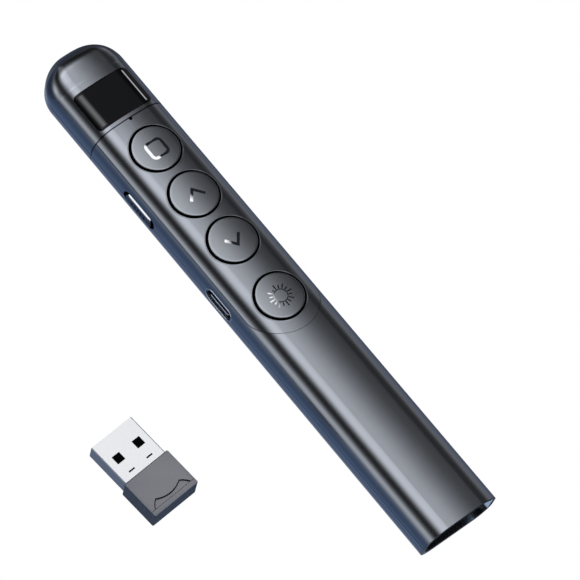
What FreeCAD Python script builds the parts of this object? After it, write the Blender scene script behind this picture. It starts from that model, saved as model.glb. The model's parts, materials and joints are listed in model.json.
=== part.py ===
import FreeCAD, Part
import math
import os
import Sketcher
from FreeCAD import Vector

# Wireless presentation clicker with its loose USB receiver.
# Frame: origin on the flat back under the middle of the casing, +X along the casing to the nose,
# +Y to the side with the power slide and the charging port, +Z up through the keys. Millimetres.

DOC = FreeCAD.newDocument("clicker")

# Driving sizes: name, value, meaning
SIZES = (
    ("body_length", 145.0, "tail rim to the flat of the nose"),
    ("body_width", 20.8, "casing, side to side"),
    ("body_height", 13.0, "flat back to the top of the crown"),
    ("crown_radius", 45.0, "gentle crown across the top"),
    ("shoulder_radius", 6.1, "round from the crown to the side"),
    ("belly_radius", 4.4, "round from the side to the flat back"),
    ("wall", 1.2, "casing wall, key cover and display window"),
    ("nose_plan_length", 9.0, "length of the rounding seen from above"),
    ("nose_side_length", 6.0, "length of the rounding seen from the side"),
    ("nose_axis_height", 4.8, "height that the nose closes towards"),
    ("nose_flat_depth", 0.35, "how much of the full rounding the flat takes off"),
    ("tail_slant", 1.1, "how far the tail rim leans forward at the back"),
    ("head_length", 23.55, "nose flat to the head seam"),
    ("parting_tail_height", 6.75, "parting line above the back at the tail"),
    ("parting_nose_height", 5.15, "parting line above the back at the nose"),
    ("seam_gap", 0.1, "visible gap at every casing seam"),
    ("rebate_drop", 4.1, "top of the crown to the rebate that the key cover's sides rest on"),
    ("seat_drop", 4.5, "top of the crown to the lowest point of the seats"),
    ("seat_gap", 0.05, "key cover and window above their seats"),
    ("ledge_width", 1.0, "seat under the key cover and the window"),
    ("ledge_thickness", 0.8, "thickness of those seats"),
    ("lip_height", 0.9, "locating lip above the parting line"),
    ("lip_thickness", 0.5, "locating lip"),
    ("lip_clearance", 0.15, "locating lip to the wall it stands behind"),
    ("cover_margin", 1.1, "side of the casing to the key cover"),
    ("first_key_offset", 9.75, "head seam to the stop key"),
    ("key_pitch", 14.25, "between the stop, up and down keys"),
    ("light_key_pitch", 17.15, "down key to the light key"),
    ("key_diameter", 12.0, "key cap"),
    ("key_gap", 0.25, "key cap to its hole, on the radius"),
    ("key_flange_width", 0.7, "retaining flange beyond the cap"),
    ("key_flange_thickness", 0.5, "retaining flange"),
    ("key_flange_gap", 0.08, "flange to the underside of the cover"),
    ("key_crown_thickness", 1.7, "cap above its hollow"),
    ("key_rim_width", 1.0, "cap wall round its hollow"),
    ("key_stem_diameter", 3.0, "stem that presses the switch"),
    ("key_travel", 0.3, "full press of a key"),
    ("switch_width", 4.5, "key switch, square"),
    ("switch_height", 0.65, "key switch above the board"),
    ("plunger_diameter", 2.0, "moving button of a key switch"),
    ("running_gap", 0.05, "moving button in its hole, on the radius"),
    ("indicator_diameter", 0.9, "indicator hole"),
    ("indicator_offset", 0.3, "head seam to the indicator hole"),
    ("window_offset", 1.0, "head seam to the display window"),
    ("window_length", 10.8, "display window along the casing"),
    ("window_width", 15.2, "display window across the casing"),
    ("window_corner", 1.0, "display window corner"),
    ("window_fit", 0.08, "window to the rim of its opening"),
    ("panel_end_gap", 0.2, "display panel to the seat of the window, along the casing"),
    ("panel_side_gap", 0.5, "display panel to the seat of the window, across the casing"),
    ("panel_thickness", 1.4, "display panel"),
    ("panel_standoff", 0.3, "adhesive gap between display panel and board"),
    ("flex_thickness", 0.15, "display ribbon"),
    ("flex_bend", 0.5, "inner radius of the ribbon's fold"),
    ("flex_width", 4.6, "display ribbon"),
    ("flex_side_offset", 1.6, "middle line to the near edge of the ribbon"),
    ("flex_run", 5.9, "ribbon under the board"),
    ("port_offset", 47.3, "head seam to the middle of the charging port"),
    ("port_width", 8.94, "shell of the port, outside"),
    ("port_thickness", 3.26, "shell of the port, outside"),
    ("port_wall", 0.3, "shell of the port"),
    ("port_depth", 7.3, "shell of the port"),
    ("port_recess", 0.25, "shell behind the side of the casing"),
    ("port_clearance", 0.25, "shell to its opening in the casing"),
    ("port_tongue_width", 6.7, "contact tongue in the port"),
    ("port_tongue_thickness", 0.7, "contact tongue in the port"),
    ("port_tongue_recess", 0.9, "contact tongue behind the mouth"),
    ("slide_offset", 17.85, "head seam to the middle of the power slide"),
    ("slot_drop", 1.73, "underside of the board to the middle of the slide's slot"),
    ("slot_length", 11.3, "slot of the power slide"),
    ("slot_width", 3.4, "slot of the power slide"),
    ("knob_length", 9.1, "power slide"),
    ("knob_width", 2.6, "power slide"),
    ("knob_corner", 0.9, "power slide corner"),
    ("knob_proud", 0.3, "power slide beyond the side of the casing"),
    ("knob_edge", 0.2, "rounded rim of the power slide"),
    ("knob_groove_pitch", 1.1, "grip grooves of the power slide"),
    ("knob_groove_width", 0.5, "grip groove"),
    ("knob_groove_depth", 0.3, "grip groove"),
    ("slide_travel", 0.9, "power slide, each way from the middle"),
    ("knob_flange_overlap", 0.35, "flange past the ends of the slot at full travel"),
    ("knob_flange_margin", 0.2, "flange past the long sides of the slot"),
    ("knob_flange_thickness", 0.35, "flange behind the slot"),
    ("knob_flange_gap", 0.35, "flange to the flat side wall"),
    ("can_length", 8.6, "body of the slide switch"),
    ("can_width", 3.4, "body of the slide switch"),
    ("can_height", 3.5, "body of the slide switch"),
    ("can_gap", 0.5, "slide switch to the knob's flange"),
    ("lever_size", 1.4, "lever of the slide switch, square"),
    ("lever_reach", 0.85, "lever into the knob"),
    ("board_drop", 4.77, "top of the crown to the underside of the board"),
    ("board_thickness", 0.8, "main board"),
    ("board_side_gap", 2.1, "main board to the side wall"),
    ("board_tail_reach", 8.9, "main board past the light key's middle"),
    ("board_nose_reach", 8.0, "main board past the head seam"),
    ("controller_chip_offset", 22.875, "head seam to the middle of the controller chip"),
    ("controller_chip_side", 2.0, "middle line to the middle of the controller chip"),
    ("controller_chip_length", 5.0, "controller chip"),
    ("controller_chip_width", 5.0, "controller chip"),
    ("controller_chip_height", 0.9, "controller chip"),
    ("crystal_offset", 15.875, "head seam to the middle of the crystal"),
    ("crystal_side", 2.4, "middle line to the middle of the crystal"),
    ("crystal_length", 3.2, "crystal"),
    ("crystal_width", 2.5, "crystal"),
    ("crystal_height", 0.7, "crystal"),
    ("motion_sensor_offset", 40.25, "head seam to the middle of the motion sensor"),
    ("motion_sensor_side", 2.5, "middle line to the middle of the motion sensor"),
    ("motion_sensor_length", 3.0, "motion sensor"),
    ("motion_sensor_width", 3.0, "motion sensor"),
    ("motion_sensor_height", 0.9, "motion sensor"),
    ("charger_chip_offset", 55.3, "head seam to the middle of the charger chip"),
    ("charger_chip_side", 3.0, "middle line to the middle of the charger chip"),
    ("charger_chip_length", 3.0, "charger chip"),
    ("charger_chip_width", 1.7, "charger chip"),
    ("charger_chip_height", 1.1, "charger chip"),
    ("chip_antenna_offset", 1.5, "head seam to the middle of the chip antenna"),
    ("chip_antenna_side", 5.4, "middle line to the middle of the chip antenna"),
    ("chip_antenna_length", 5.0, "chip antenna"),
    ("chip_antenna_width", 2.0, "chip antenna"),
    ("chip_antenna_height", 1.2, "chip antenna"),
    ("indicator_led_length", 1.0, "indicator lamp"),
    ("indicator_led_width", 1.6, "indicator lamp"),
    ("indicator_led_height", 0.6, "indicator lamp"),
    ("post_diameter", 3.6, "screw post"),
    ("screw_diameter", 1.6, "board screw"),
    ("screw_head_diameter", 2.8, "board screw"),
    ("screw_head_height", 0.6, "board screw"),
    ("screw_length", 4.5, "board screw under its head"),
    ("screw_clearance", 0.05, "screw to its hole, on the radius"),
    ("post_side_offset", 5.0, "middle line to the two side posts"),
    ("battery_end_gap", 2.3, "pouch cell to the main board"),
    ("battery_side_gap", 2.4, "pouch cell to the side wall"),
    ("battery_thickness", 6.4, "pouch cell"),
    ("battery_round", 1.2, "rounded long edges of the cell"),
    ("battery_seal", 1.2, "folded seal at the nose end of the cell"),
    ("foam_thickness", 0.4, "foam pad under the cell"),
    ("foam_inset", 1.0, "ends of the foam pad inside the outline of the cell"),
    ("foam_side_gap", 0.2, "foam pad to the round of the floor"),
    ("rib_thickness", 0.8, "ribs at both ends of the cell"),
    ("rib_height", 2.9, "those ribs above the floor"),
    ("fit_gap", 0.15, "fixed inner pieces to what holds them"),
    ("lead_diameter", 0.9, "battery lead"),
    ("lead_bend", 1.5, "bend of every lead, on its middle line"),
    ("lead_pitch", 4.0, "between the two battery leads"),
    ("laser_height", 5.4, "middle of the laser above the back"),
    ("laser_aperture", 3.4, "hole in the nose"),
    ("barrel_diameter", 5.4, "laser barrel"),
    ("barrel_length", 9.3, "laser barrel with its snout"),
    ("snout_diameter", 4.0, "front of the laser barrel"),
    ("snout_length", 1.0, "front of the laser barrel"),
    ("lens_diameter", 3.1, "laser lens"),
    ("lens_thickness", 1.0, "laser lens"),
    ("diode_diameter", 3.3, "can of the laser diode"),
    ("diode_length", 2.2, "can of the laser diode"),
    ("diode_flange_diameter", 4.6, "base of the laser diode"),
    ("diode_flange_thickness", 0.7, "base of the laser diode"),
    ("diode_lead_diameter", 0.7, "laser lead"),
    ("diode_lead_pitch", 1.6, "between the two laser leads"),
    ("saddle_thickness", 1.2, "saddles under the laser barrel"),
    ("bay_recess", 3.0, "receiver bay behind the tail rim"),
    ("bay_end_wall", 1.0, "closed end of the receiver bay"),
    ("bay_clearance", 0.25, "receiver to its bay, each side"),
    ("bay_height", 6.5, "middle of the receiver bay above the back"),
    ("plug_width", 12.0, "USB plug shell"),
    ("plug_thickness", 4.5, "USB plug shell"),
    ("plug_length", 11.3, "USB plug in front of its housing"),
    ("plug_wall", 0.3, "USB plug shell"),
    ("plug_root", 2.2, "USB plug inside its housing"),
    ("plug_hole", 2.2, "square latch hole of the plug"),
    ("plug_hole_pitch", 6.0, "between the latch holes"),
    ("plug_hole_offset", 5.7, "plug tip to the latch holes"),
    ("plug_slot_length", 1.7, "folded seam slot near the housing"),
    ("plug_slot_width", 0.4, "folded seam slot near the housing"),
    ("plug_slot_pitch", 5.3, "between the seam slots"),
    ("plug_slot_offset", 1.4, "housing to the seam slots"),
    ("plug_tongue_thickness", 1.9, "insulator in the plug"),
    ("contact_length", 9.0, "plug contact"),
    ("contact_width", 1.0, "plug contact"),
    ("contact_thickness", 0.15, "plug contact"),
    ("contact_pitch", 2.5, "between plug contacts"),
    ("housing_length", 10.2, "receiver housing"),
    ("housing_width", 13.0, "receiver housing"),
    ("housing_thickness", 5.4, "receiver housing"),
    ("housing_wall", 0.9, "receiver housing"),
    ("housing_corner", 0.7, "upright corners of the receiver housing"),
    ("housing_edge", 0.25, "top and bottom edges of the receiver housing"),
    ("grip_depth", 0.25, "scalloped finger recess on the housing"),
    ("grip_margin", 1.3, "finger recess to the end of the housing"),
    ("grip_length", 1.5, "straight part of the finger recess"),
    ("grip_width", 8.0, "straight part of the finger recess"),
    ("grip_radius", 1.3, "one scallop of the finger recess"),
    ("grip_pitch", 2.4, "between the scallops"),
    ("grip_step", 0.6, "how far the middle scallop reaches beyond the outer two"),
    ("receiver_x", -20.1, "front of the receiver housing along the casing"),
    ("receiver_y", 47.9, "middle of the receiver beside the casing"),
    ("receiver_turn", 4.9, "turn of the receiver on the table, degrees"),
)


class Size:
    """A number that remembers the sheet formula it comes from, so that it can drive a property."""

    def __init__(self, value, formula):
        self.value = value
        self.formula = formula

    def __float__(self):
        return float(self.value)

    def _join(self, other, sign, value):
        text = other.formula if isinstance(other, Size) else repr(float(other))
        return Size(value, "(%s %s %s)" % (self.formula, sign, text))

    def __add__(self, other):
        return self._join(other, "+", float(self) + float(other))

    def __sub__(self, other):
        return self._join(other, "-", float(self) - float(other))

    def __mul__(self, other):
        return self._join(other, "*", float(self) * float(other))

    def __truediv__(self, other):
        return self._join(other, "/", float(self) / float(other))

    def __neg__(self):
        return Size(-float(self), "(0 - %s)" % self.formula)

    def root(self):
        return Size(math.sqrt(float(self)), "sqrt(%s)" % self.formula)


def fill_sheet():
    """Write every driving size into the sheet and return them by name."""
    sheet = DOC.addObject("Spreadsheet::Sheet", "dims")
    named = {}
    for row, (name, value, meaning) in enumerate(SIZES, 1):
        sheet.set("A%d" % row, name)
        sheet.set("B%d" % row, str(value))
        sheet.set("C%d" % row, meaning)
        sheet.setAlias("B%d" % row, name)
    DOC.recompute()
    for name, value, meaning in SIZES:
        named[name] = Size(float(sheet.get(name)), "dims." + name)
    return named


D = fill_sheet()
ZERO = Size(0.0, "0")

# Places that follow from the driving sizes
HALF_LENGTH = D["body_length"] / 2
HALF_WIDTH = D["body_width"] / 2
TAIL_X = -HALF_LENGTH
SEAM_X = HALF_LENGTH - D["head_length"]
STOP_X = SEAM_X - D["first_key_offset"]
UP_X = STOP_X - D["key_pitch"]
DOWN_X = UP_X - D["key_pitch"]
LIGHT_X = DOWN_X - D["light_key_pitch"]
KEYS = (("stop", STOP_X), ("up", UP_X), ("down", DOWN_X), ("light", LIGHT_X))
INNER_WIDTH = HALF_WIDTH - D["wall"]
SHOULDER_Y = HALF_WIDTH - D["shoulder_radius"]
CROWN_TO_SHOULDER = D["crown_radius"] - D["shoulder_radius"]
CROWN_Z = D["body_height"] - D["crown_radius"]
SHOULDER_Z = CROWN_Z + (CROWN_TO_SHOULDER * CROWN_TO_SHOULDER - SHOULDER_Y * SHOULDER_Y).root()
BOARD_BOTTOM = D["body_height"] - D["board_drop"]
PORT_Z = BOARD_BOTTOM - D["port_thickness"] / 2
SLOT_Z = BOARD_BOTTOM - D["slot_drop"]
REBATE_Z = D["body_height"] - D["rebate_drop"]
SEAT_Z = D["body_height"] - D["seat_drop"]
COVER_RADIUS = HALF_WIDTH - D["cover_margin"]
BOARD_TOP = BOARD_BOTTOM + D["board_thickness"]
BOARD_TAIL_X = LIGHT_X - D["board_tail_reach"]
BOARD_NOSE_X = SEAM_X + D["board_nose_reach"]
SWITCH_TOP = BOARD_TOP + D["switch_height"]
PLUNGER_TOP = SWITCH_TOP + D["key_travel"]
PORT_X = SEAM_X - D["port_offset"]
PORT_MOUTH_Y = HALF_WIDTH - D["port_recess"]
PORT_BACK_Y = PORT_MOUTH_Y - D["port_depth"]
SLIDE_X = SEAM_X - D["slide_offset"]
FLANGE_OUT_Y = INNER_WIDTH - D["knob_flange_gap"]
FLANGE_IN_Y = FLANGE_OUT_Y - D["knob_flange_thickness"]
CAN_FRONT_Y = FLANGE_IN_Y - D["can_gap"]
WINDOW_X = SEAM_X + D["window_offset"]
PANEL_X = WINDOW_X + D["ledge_width"] + D["panel_end_gap"]
PANEL_NOSE_X = WINDOW_X + D["window_length"] - D["ledge_width"] - D["panel_end_gap"]
PANEL_BOTTOM = BOARD_TOP + D["panel_standoff"]
LASER_FRONT_X = HALF_LENGTH - D["wall"] - D["seam_gap"]
BARREL_TAIL_X = LASER_FRONT_X - D["barrel_length"]
BAY_X = TAIL_X + D["bay_recess"]
RECEIVER_LENGTH = D["plug_length"] + D["housing_length"]
BAY_END_X = BAY_X + RECEIVER_LENGTH + D["bay_clearance"] + D["bay_end_wall"]
BATTERY_TAIL_X = BAY_END_X + D["fit_gap"] * 2 + D["rib_thickness"]
BATTERY_NOSE_X = BOARD_TAIL_X - D["battery_end_gap"]
BATTERY_HALF = INNER_WIDTH - D["battery_side_gap"]
BATTERY_BOTTOM = D["wall"] + D["foam_thickness"]
POSTS = (
    (LIGHT_X - D["switch_width"] / 2 - D["post_diameter"] / 2 - 1.1, ZERO),
    ((UP_X + DOWN_X) / 2, -D["post_side_offset"]),
    (STOP_X + D["switch_width"] / 2 + D["post_diameter"] / 2 + 2.5, D["post_side_offset"]),
)
FAR = D["body_length"]
PIECES = {}


def parting_height(x):
    """Height of the sloping parting line at a place along the casing."""
    rise = (D["parting_nose_height"] - D["parting_tail_height"]) / D["body_length"]
    return D["parting_tail_height"] + rise * (x - TAIL_X)


# Sketches and features


def bind(item, name, size):
    item.setExpression(name, size.formula)


def new_body(name):
    body = DOC.addObject("PartDesign::Body", name)
    body.Label = name
    return body


def new_sketch(body, plane, level, lift=None):
    """Sketch on one of the body's own origin planes, moved along that plane's normal."""
    sketch = body.newObject("Sketcher::SketchObject", body.Name + "_sketch")
    support = [item for item in body.Origin.OriginFeatures if item.Role == plane][0]
    sketch.AttachmentSupport = [(support, "")]
    sketch.MapMode = "FlatFace"
    bind(sketch, "AttachmentOffset.Base.z", level)
    if lift is not None:
        bind(sketch, "AttachmentOffset.Base.y", lift)
    return sketch


def fix_point(sketch, curve, end, u, v):
    """Dimension one point of the sketch from the origin, both ways."""
    for kind, size in (("DistanceX", u), ("DistanceY", v)):
        number = sketch.addConstraint(Sketcher.Constraint(kind, -1, 1, curve, end, float(size)))
        sketch.setExpression("Constraints[%d]" % number, size.formula)


def fix_radius(sketch, curve, radius):
    number = sketch.addConstraint(Sketcher.Constraint("Radius", curve, float(radius)))
    sketch.setExpression("Constraints[%d]" % number, radius.formula)


def draw_polygon(sketch, corners):
    """Closed outline of straight lines with every corner dimensioned."""
    spots = [Vector(float(u), float(v), 0) for u, v in corners]
    first = sketch.GeometryCount
    count = len(spots)
    for index in range(count):
        sketch.addGeometry(Part.LineSegment(spots[index], spots[(index + 1) % count]), False)
    for index in range(count):
        after = first + (index + 1) % count
        sketch.addConstraint(Sketcher.Constraint("Coincident", first + index, 2, after, 1))
    for index, (u, v) in enumerate(corners):
        fix_point(sketch, first + index, 1, u, v)


def draw_rectangle(sketch, u_low, u_high, v_low, v_high):
    draw_polygon(sketch, ((u_low, v_low), (u_high, v_low), (u_high, v_high), (u_low, v_high)))


def draw_circle(sketch, u, v, radius):
    centre = Vector(float(u), float(v), 0)
    curve = sketch.addGeometry(Part.Circle(centre, Vector(0, 0, 1), float(radius)), False)
    fix_radius(sketch, curve, radius)
    fix_point(sketch, curve, 3, u, v)


def arc_of(u, v, radius, start, end):
    circle = Part.Circle(Vector(u, v, 0), Vector(0, 0, 1), radius)
    return Part.ArcOfCircle(circle, start, end)


def draw_slot(sketch, u_middle, v_middle, length, width):
    """Straight slot with round ends, lying along the first axis of the sketch."""
    radius = width / 2
    reach = length / 2 - radius
    left, right, mid, rad = (float(u_middle - reach), float(u_middle + reach), float(v_middle),
                             float(radius))
    quarter = math.pi / 2
    first = sketch.GeometryCount
    sketch.addGeometry(arc_of(right, mid, rad, -quarter, quarter), False)
    sketch.addGeometry(Part.LineSegment(Vector(right, mid + rad, 0), Vector(left, mid + rad, 0)))
    sketch.addGeometry(arc_of(left, mid, rad, quarter, 3 * quarter), False)
    sketch.addGeometry(Part.LineSegment(Vector(left, mid - rad, 0), Vector(right, mid - rad, 0)))
    joints = ((0, 2, 1, 1), (1, 2, 2, 1), (2, 2, 3, 1), (3, 2, 0, 1))
    for one, one_end, two, two_end in joints:
        sketch.addConstraint(
            Sketcher.Constraint("Tangent", first + one, one_end, first + two, two_end))
    fix_radius(sketch, first, radius)
    fix_point(sketch, first, 3, u_middle + reach, v_middle)
    fix_point(sketch, first + 2, 3, u_middle - reach, v_middle)


def draw_cover_outline(sketch, radius, front_x):
    """Key cover outline: straight sides and a half round about the light key."""
    quarter = math.pi / 2
    middle, rad, front = float(LIGHT_X), float(radius), float(front_x)
    first = sketch.GeometryCount
    sketch.addGeometry(arc_of(middle, 0, rad, quarter, 3 * quarter), False)
    sketch.addGeometry(Part.LineSegment(Vector(middle, -rad, 0), Vector(front, -rad, 0)))
    sketch.addGeometry(Part.LineSegment(Vector(front, -rad, 0), Vector(front, rad, 0)))
    sketch.addGeometry(Part.LineSegment(Vector(front, rad, 0), Vector(middle, rad, 0)))
    for one, two in ((0, 1), (3, 0)):
        sketch.addConstraint(Sketcher.Constraint("Tangent", first + one, 2, first + two, 1))
    for one, two in ((1, 2), (2, 3)):
        sketch.addConstraint(Sketcher.Constraint("Coincident", first + one, 2, first + two, 1))
    for line in (1, 3):
        sketch.addConstraint(Sketcher.Constraint("Horizontal", first + line))
    sketch.addConstraint(Sketcher.Constraint("Vertical", first + 2))
    fix_radius(sketch, first, radius)
    fix_point(sketch, first, 3, LIGHT_X, ZERO)
    number = sketch.addConstraint(
        Sketcher.Constraint("DistanceX", -1, 1, first + 2, 1, front))
    sketch.setExpression("Constraints[%d]" % number, front_x.formula)


def normal_span(plane, low, high):
    """Turn a span along the frame's axis into one along the plane's own normal."""
    return (-high, -low) if plane == "XZ_Plane" else (low, high)


def finish_feature(body, feature, grows):
    """Recompute and make sure that the feature changed the volume the way it should."""
    before = body.Shape.Volume if not body.Shape.isNull() else 0.0
    DOC.recompute()
    change = body.Shape.Volume - before
    if (change > 0) != grows or abs(change) < 1e-6:
        raise ValueError("%s does not change %s as it should" % (feature.Name, body.Name))
    return feature


def extrude(body, plane, draw, low, high):
    """Pad an outline between two levels."""
    start, end = normal_span(plane, low, high)
    sketch = new_sketch(body, plane, start)
    draw(sketch)
    pad = body.newObject("PartDesign::Pad", body.Name + "_pad")
    pad.Profile = sketch
    bind(pad, "Length", end - start)
    return finish_feature(body, pad, True)


def pocket(body, plane, draw, low, high):
    """Cut an outline out of the body between two levels."""
    start, end = normal_span(plane, low, high)
    sketch = new_sketch(body, plane, end)
    draw(sketch)
    cut = body.newObject("PartDesign::Pocket", body.Name + "_pocket")
    cut.Profile = sketch
    bind(cut, "Length", end - start)
    return finish_feature(body, cut, False)


def turn(body, plane, corners, level, lift, axis_name):
    """Revolve a closed profile about one axis of its sketch."""
    sketch = new_sketch(body, plane, level, lift)
    draw_polygon(sketch, corners)
    spin = body.newObject("PartDesign::Revolution", body.Name + "_turn")
    spin.Profile = sketch
    spin.ReferenceAxis = (sketch, [axis_name])
    spin.Angle = 360.0
    return finish_feature(body, spin, True)


def soften(body, name, radius, chosen):
    """Round the edges of the body that pass the test."""
    base = body.Tip
    edges = ["Edge%d" % (number + 1) for number, edge in enumerate(base.Shape.Edges)
             if chosen(edge)]
    fillet = body.newObject("PartDesign::Fillet", name)
    fillet.Base = (base, edges)
    bind(fillet, "Radius", radius)
    return finish_feature(body, fillet, False)


def runs_along(edge, axis):
    ends = [vertex.Point for vertex in edge.Vertexes]
    if len(ends) != 2 or not isinstance(edge.Curve, Part.Line):
        return False
    way = (ends[1] - ends[0]).normalize()
    return abs(abs(way.dot(axis)) - 1) < 1e-6


def lies_at(edge, axis, level):
    """True when the whole edge lies in the plane at this level along the axis."""
    return all(abs(point.dot(axis) - float(level)) < 1e-4 for point in edge.discretize(5))


ALONG = Vector(1, 0, 0)
ACROSS = Vector(0, 1, 0)
UP = Vector(0, 0, 1)


def block(name, x_low, x_high, y_low, y_high, z_low, z_high):
    """Box between six planes."""
    box = DOC.addObject("Part::Box", name)
    for prop, low, high in (("Length", x_low, x_high), ("Width", y_low, y_high),
                            ("Height", z_low, z_high)):
        bind(box, prop, high - low)
    for axis, low in (("x", x_low), ("y", y_low), ("z", z_low)):
        bind(box, "Placement.Base." + axis, low)
    return box


def rod(name, x, y, z, radius, length, along_x=False):
    """Cylinder that starts at a point and runs up, or along the casing."""
    cylinder = DOC.addObject("Part::Cylinder", name)
    if along_x:
        cylinder.Placement.Rotation = FreeCAD.Rotation(Vector(0, 1, 0), 90)
    bind(cylinder, "Radius", radius)
    bind(cylinder, "Height", length)
    for axis, place in (("x", x), ("y", y), ("z", z)):
        bind(cylinder, "Placement.Base." + axis, place)
    return cylinder


def join(kind, name, shapes):
    """Boolean of several objects: MultiFuse or MultiCommon."""
    result = DOC.addObject("Part::" + kind, name)
    result.Shapes = list(shapes)
    return result


def cut_away(name, base, tool):
    result = DOC.addObject("Part::Cut", name)
    result.Base = base
    result.Tool = tool
    return result


def keep(name, item):
    """Give the finished sub-part its label and put it on the list."""
    item.Label = name
    PIECES[name] = item
    return item


def chip(name, x, y, on_top=False):
    """Small packaged part soldered flat on the main board."""
    height = D[name + "_height"]
    bottom = BOARD_TOP if on_top else BOARD_BOTTOM - height
    half_l = D[name + "_length"] / 2
    half_w = D[name + "_width"] / 2
    return keep(name, block(name, x - half_l, x + half_l, y - half_w, y + half_w,
                            bottom, bottom + height))


# Casing skin


def section_wire(x, inset):
    """Casing outline at one station: crown, shoulders, sides, belly rounds and flat back."""
    crown = float(D["crown_radius"]) - inset
    shoulder = float(D["shoulder_radius"]) - inset
    belly = float(D["belly_radius"]) - inset
    half = float(HALF_WIDTH) - inset
    crown_z, shoulder_y, shoulder_z = float(CROWN_Z), float(SHOULDER_Y), float(SHOULDER_Z)
    lean = math.asin(shoulder_y / float(CROWN_TO_SHOULDER))
    belly_y = half - belly
    belly_z = inset + belly

    def on(centre_y, centre_z, radius, angle, side):
        return Vector(x, side * (centre_y + radius * math.sin(angle)),
                      centre_z + radius * math.cos(angle))

    quarter = math.pi / 2
    tops = {side: on(0, crown_z, crown, lean, side) for side in (-1, 1)}
    edges = [Part.Arc(tops[-1], Vector(x, 0, crown_z + crown), tops[1]).toShape()]
    for side in (1, -1):
        corner = [
            Part.Arc(tops[side],
                     on(shoulder_y, shoulder_z, shoulder, (lean + quarter) / 2, side),
                     on(shoulder_y, shoulder_z, shoulder, quarter, side)).toShape(),
            Part.makeLine(Vector(x, side * half, shoulder_z), Vector(x, side * half, belly_z)),
            Part.Arc(Vector(x, side * half, belly_z),
                     on(belly_y, belly_z, belly, 1.5 * quarter, side),
                     Vector(x, side * belly_y, inset)).toShape(),
        ]
        edges.extend(corner)
        if side == 1:
            edges.append(Part.makeLine(Vector(x, belly_y, inset), Vector(x, -belly_y, inset)))
    return Part.Wire(Part.__sortEdges__(edges))


def squashed(wire, wide, tall):
    """The outline drawn in towards the nose axis, across and in height."""
    axis = float(D["nose_axis_height"])
    squeeze = FreeCAD.Matrix()
    squeeze.A22 = wide
    squeeze.A33 = tall
    squeeze.A34 = axis * (1 - tall)
    return wire.transformGeometry(squeeze)


NOSE_STATIONS = 9
NOSE_LEAD_IN = 1.5


def nose_scale(x, full_tip, length):
    """Quarter ellipse: 1 where the rounding starts, 0 at the full tip."""
    depth = (x - (full_tip - length)) / length
    return 1.0 if depth <= 0 else math.sqrt(max(0.0, 1.0 - depth * depth))


def casing_solid(name, inset_size):
    """Casing skin at an inset: a straight run and a lofted nose that is squashed both ways."""
    inset = float(inset_size)
    tip = float(HALF_LENGTH + D["nose_flat_depth"]) - inset
    plan = float(D["nose_plan_length"]) - inset
    side = float(D["nose_side_length"]) - inset
    start = tip - plan
    end = float(HALF_LENGTH) - inset
    last_turn = math.asin((end - start) / plan)
    stations = [start - NOSE_LEAD_IN]
    for index in range(NOSE_STATIONS):
        stations.append(start + plan * math.sin(last_turn * index / (NOSE_STATIONS - 1)))
    wires = [squashed(section_wire(x, inset), nose_scale(x, tip, plan), nose_scale(x, tip, side))
             for x in stations]
    nose = Part.makeLoft(wires, True, False)
    tail = float(TAIL_X) - 1.0
    base = Part.Face(section_wire(tail, inset))
    straight = base.extrude(Vector(stations[0] - tail, 0, 0))
    skin = DOC.addObject("Part::Feature", name)
    skin.Shape = straight.fuse(nose)
    return skin


def above_parting(name, gap):
    """Everything above the parting line, raised by the gap."""
    tail, nose = TAIL_X - FAR, HALF_LENGTH + FAR
    body = new_body(name)
    corners = ((tail, parting_height(tail) + gap), (nose, parting_height(nose) + gap),
               (nose, D["body_height"] * 3), (tail, D["body_height"] * 3))
    extrude(body, "XZ_Plane", lambda sketch: draw_polygon(sketch, corners),
            -D["body_width"], D["body_width"])
    return body


def tail_wedge():
    """What the slanted cut takes off the tail: nothing at the crown, most at the back."""
    body = new_body("tail_wedge")
    slope = D["tail_slant"] / D["body_height"]
    low, high = -D["wall"], D["body_height"] + D["wall"]
    corners = ((TAIL_X - D["bay_recess"], low), (TAIL_X + slope * (D["body_height"] - low), low),
               (TAIL_X + slope * (D["body_height"] - high), high),
               (TAIL_X - D["bay_recess"], high))
    extrude(body, "XZ_Plane", lambda sketch: draw_polygon(sketch, corners),
            -D["body_width"], D["body_width"])
    return body


def cover_prism(name, grow, front_x, level):
    """Upright block with the key cover's outline, from a level upwards."""
    body = new_body(name)
    radius = COVER_RADIUS + grow
    extrude(body, "XY_Plane", lambda sketch: draw_cover_outline(sketch, radius, front_x),
            level, D["body_height"] * 2)
    return body


def window_prism(name, grow, corner):
    """Upright block with the window's outline, from the seats upwards."""
    body = new_body(name)
    half = D["window_width"] / 2 + grow
    extrude(body, "XY_Plane",
            lambda sketch: draw_rectangle(sketch, WINDOW_X - grow,
                                          WINDOW_X + D["window_length"] + grow, -half, half),
            SEAT_Z, D["body_height"] * 2)
    soften(body, name + "_corners", corner, lambda edge: runs_along(edge, UP))
    return body


def side_slot(name, x, z, length, width):
    """Round-ended cutter through the side wall that carries the port and the slide."""
    body = new_body(name)
    extrude(body, "XZ_Plane", lambda sketch: draw_slot(sketch, x, z, length, width),
            SHOULDER_Y, D["body_width"])
    return body


def lip_rail(name, side, top_gap, outer_y, above):
    """Rail along one side wall whose top follows the parting line."""
    tail, nose = BAY_END_X + D["rib_thickness"], BARREL_TAIL_X
    root = D["belly_radius"] - D["lip_height"]
    corners = ((tail, root), (nose, root), (nose, parting_height(nose) + top_gap),
               (tail, parting_height(tail) + top_gap))
    inner_y = INNER_WIDTH - D["lip_clearance"] - D["lip_thickness"]
    low, high = (inner_y, outer_y) if side > 0 else (-outer_y, -inner_y)
    body = new_body(name)
    extrude(body, "XZ_Plane", lambda sketch: draw_polygon(sketch, corners), low, high)
    return body


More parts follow.
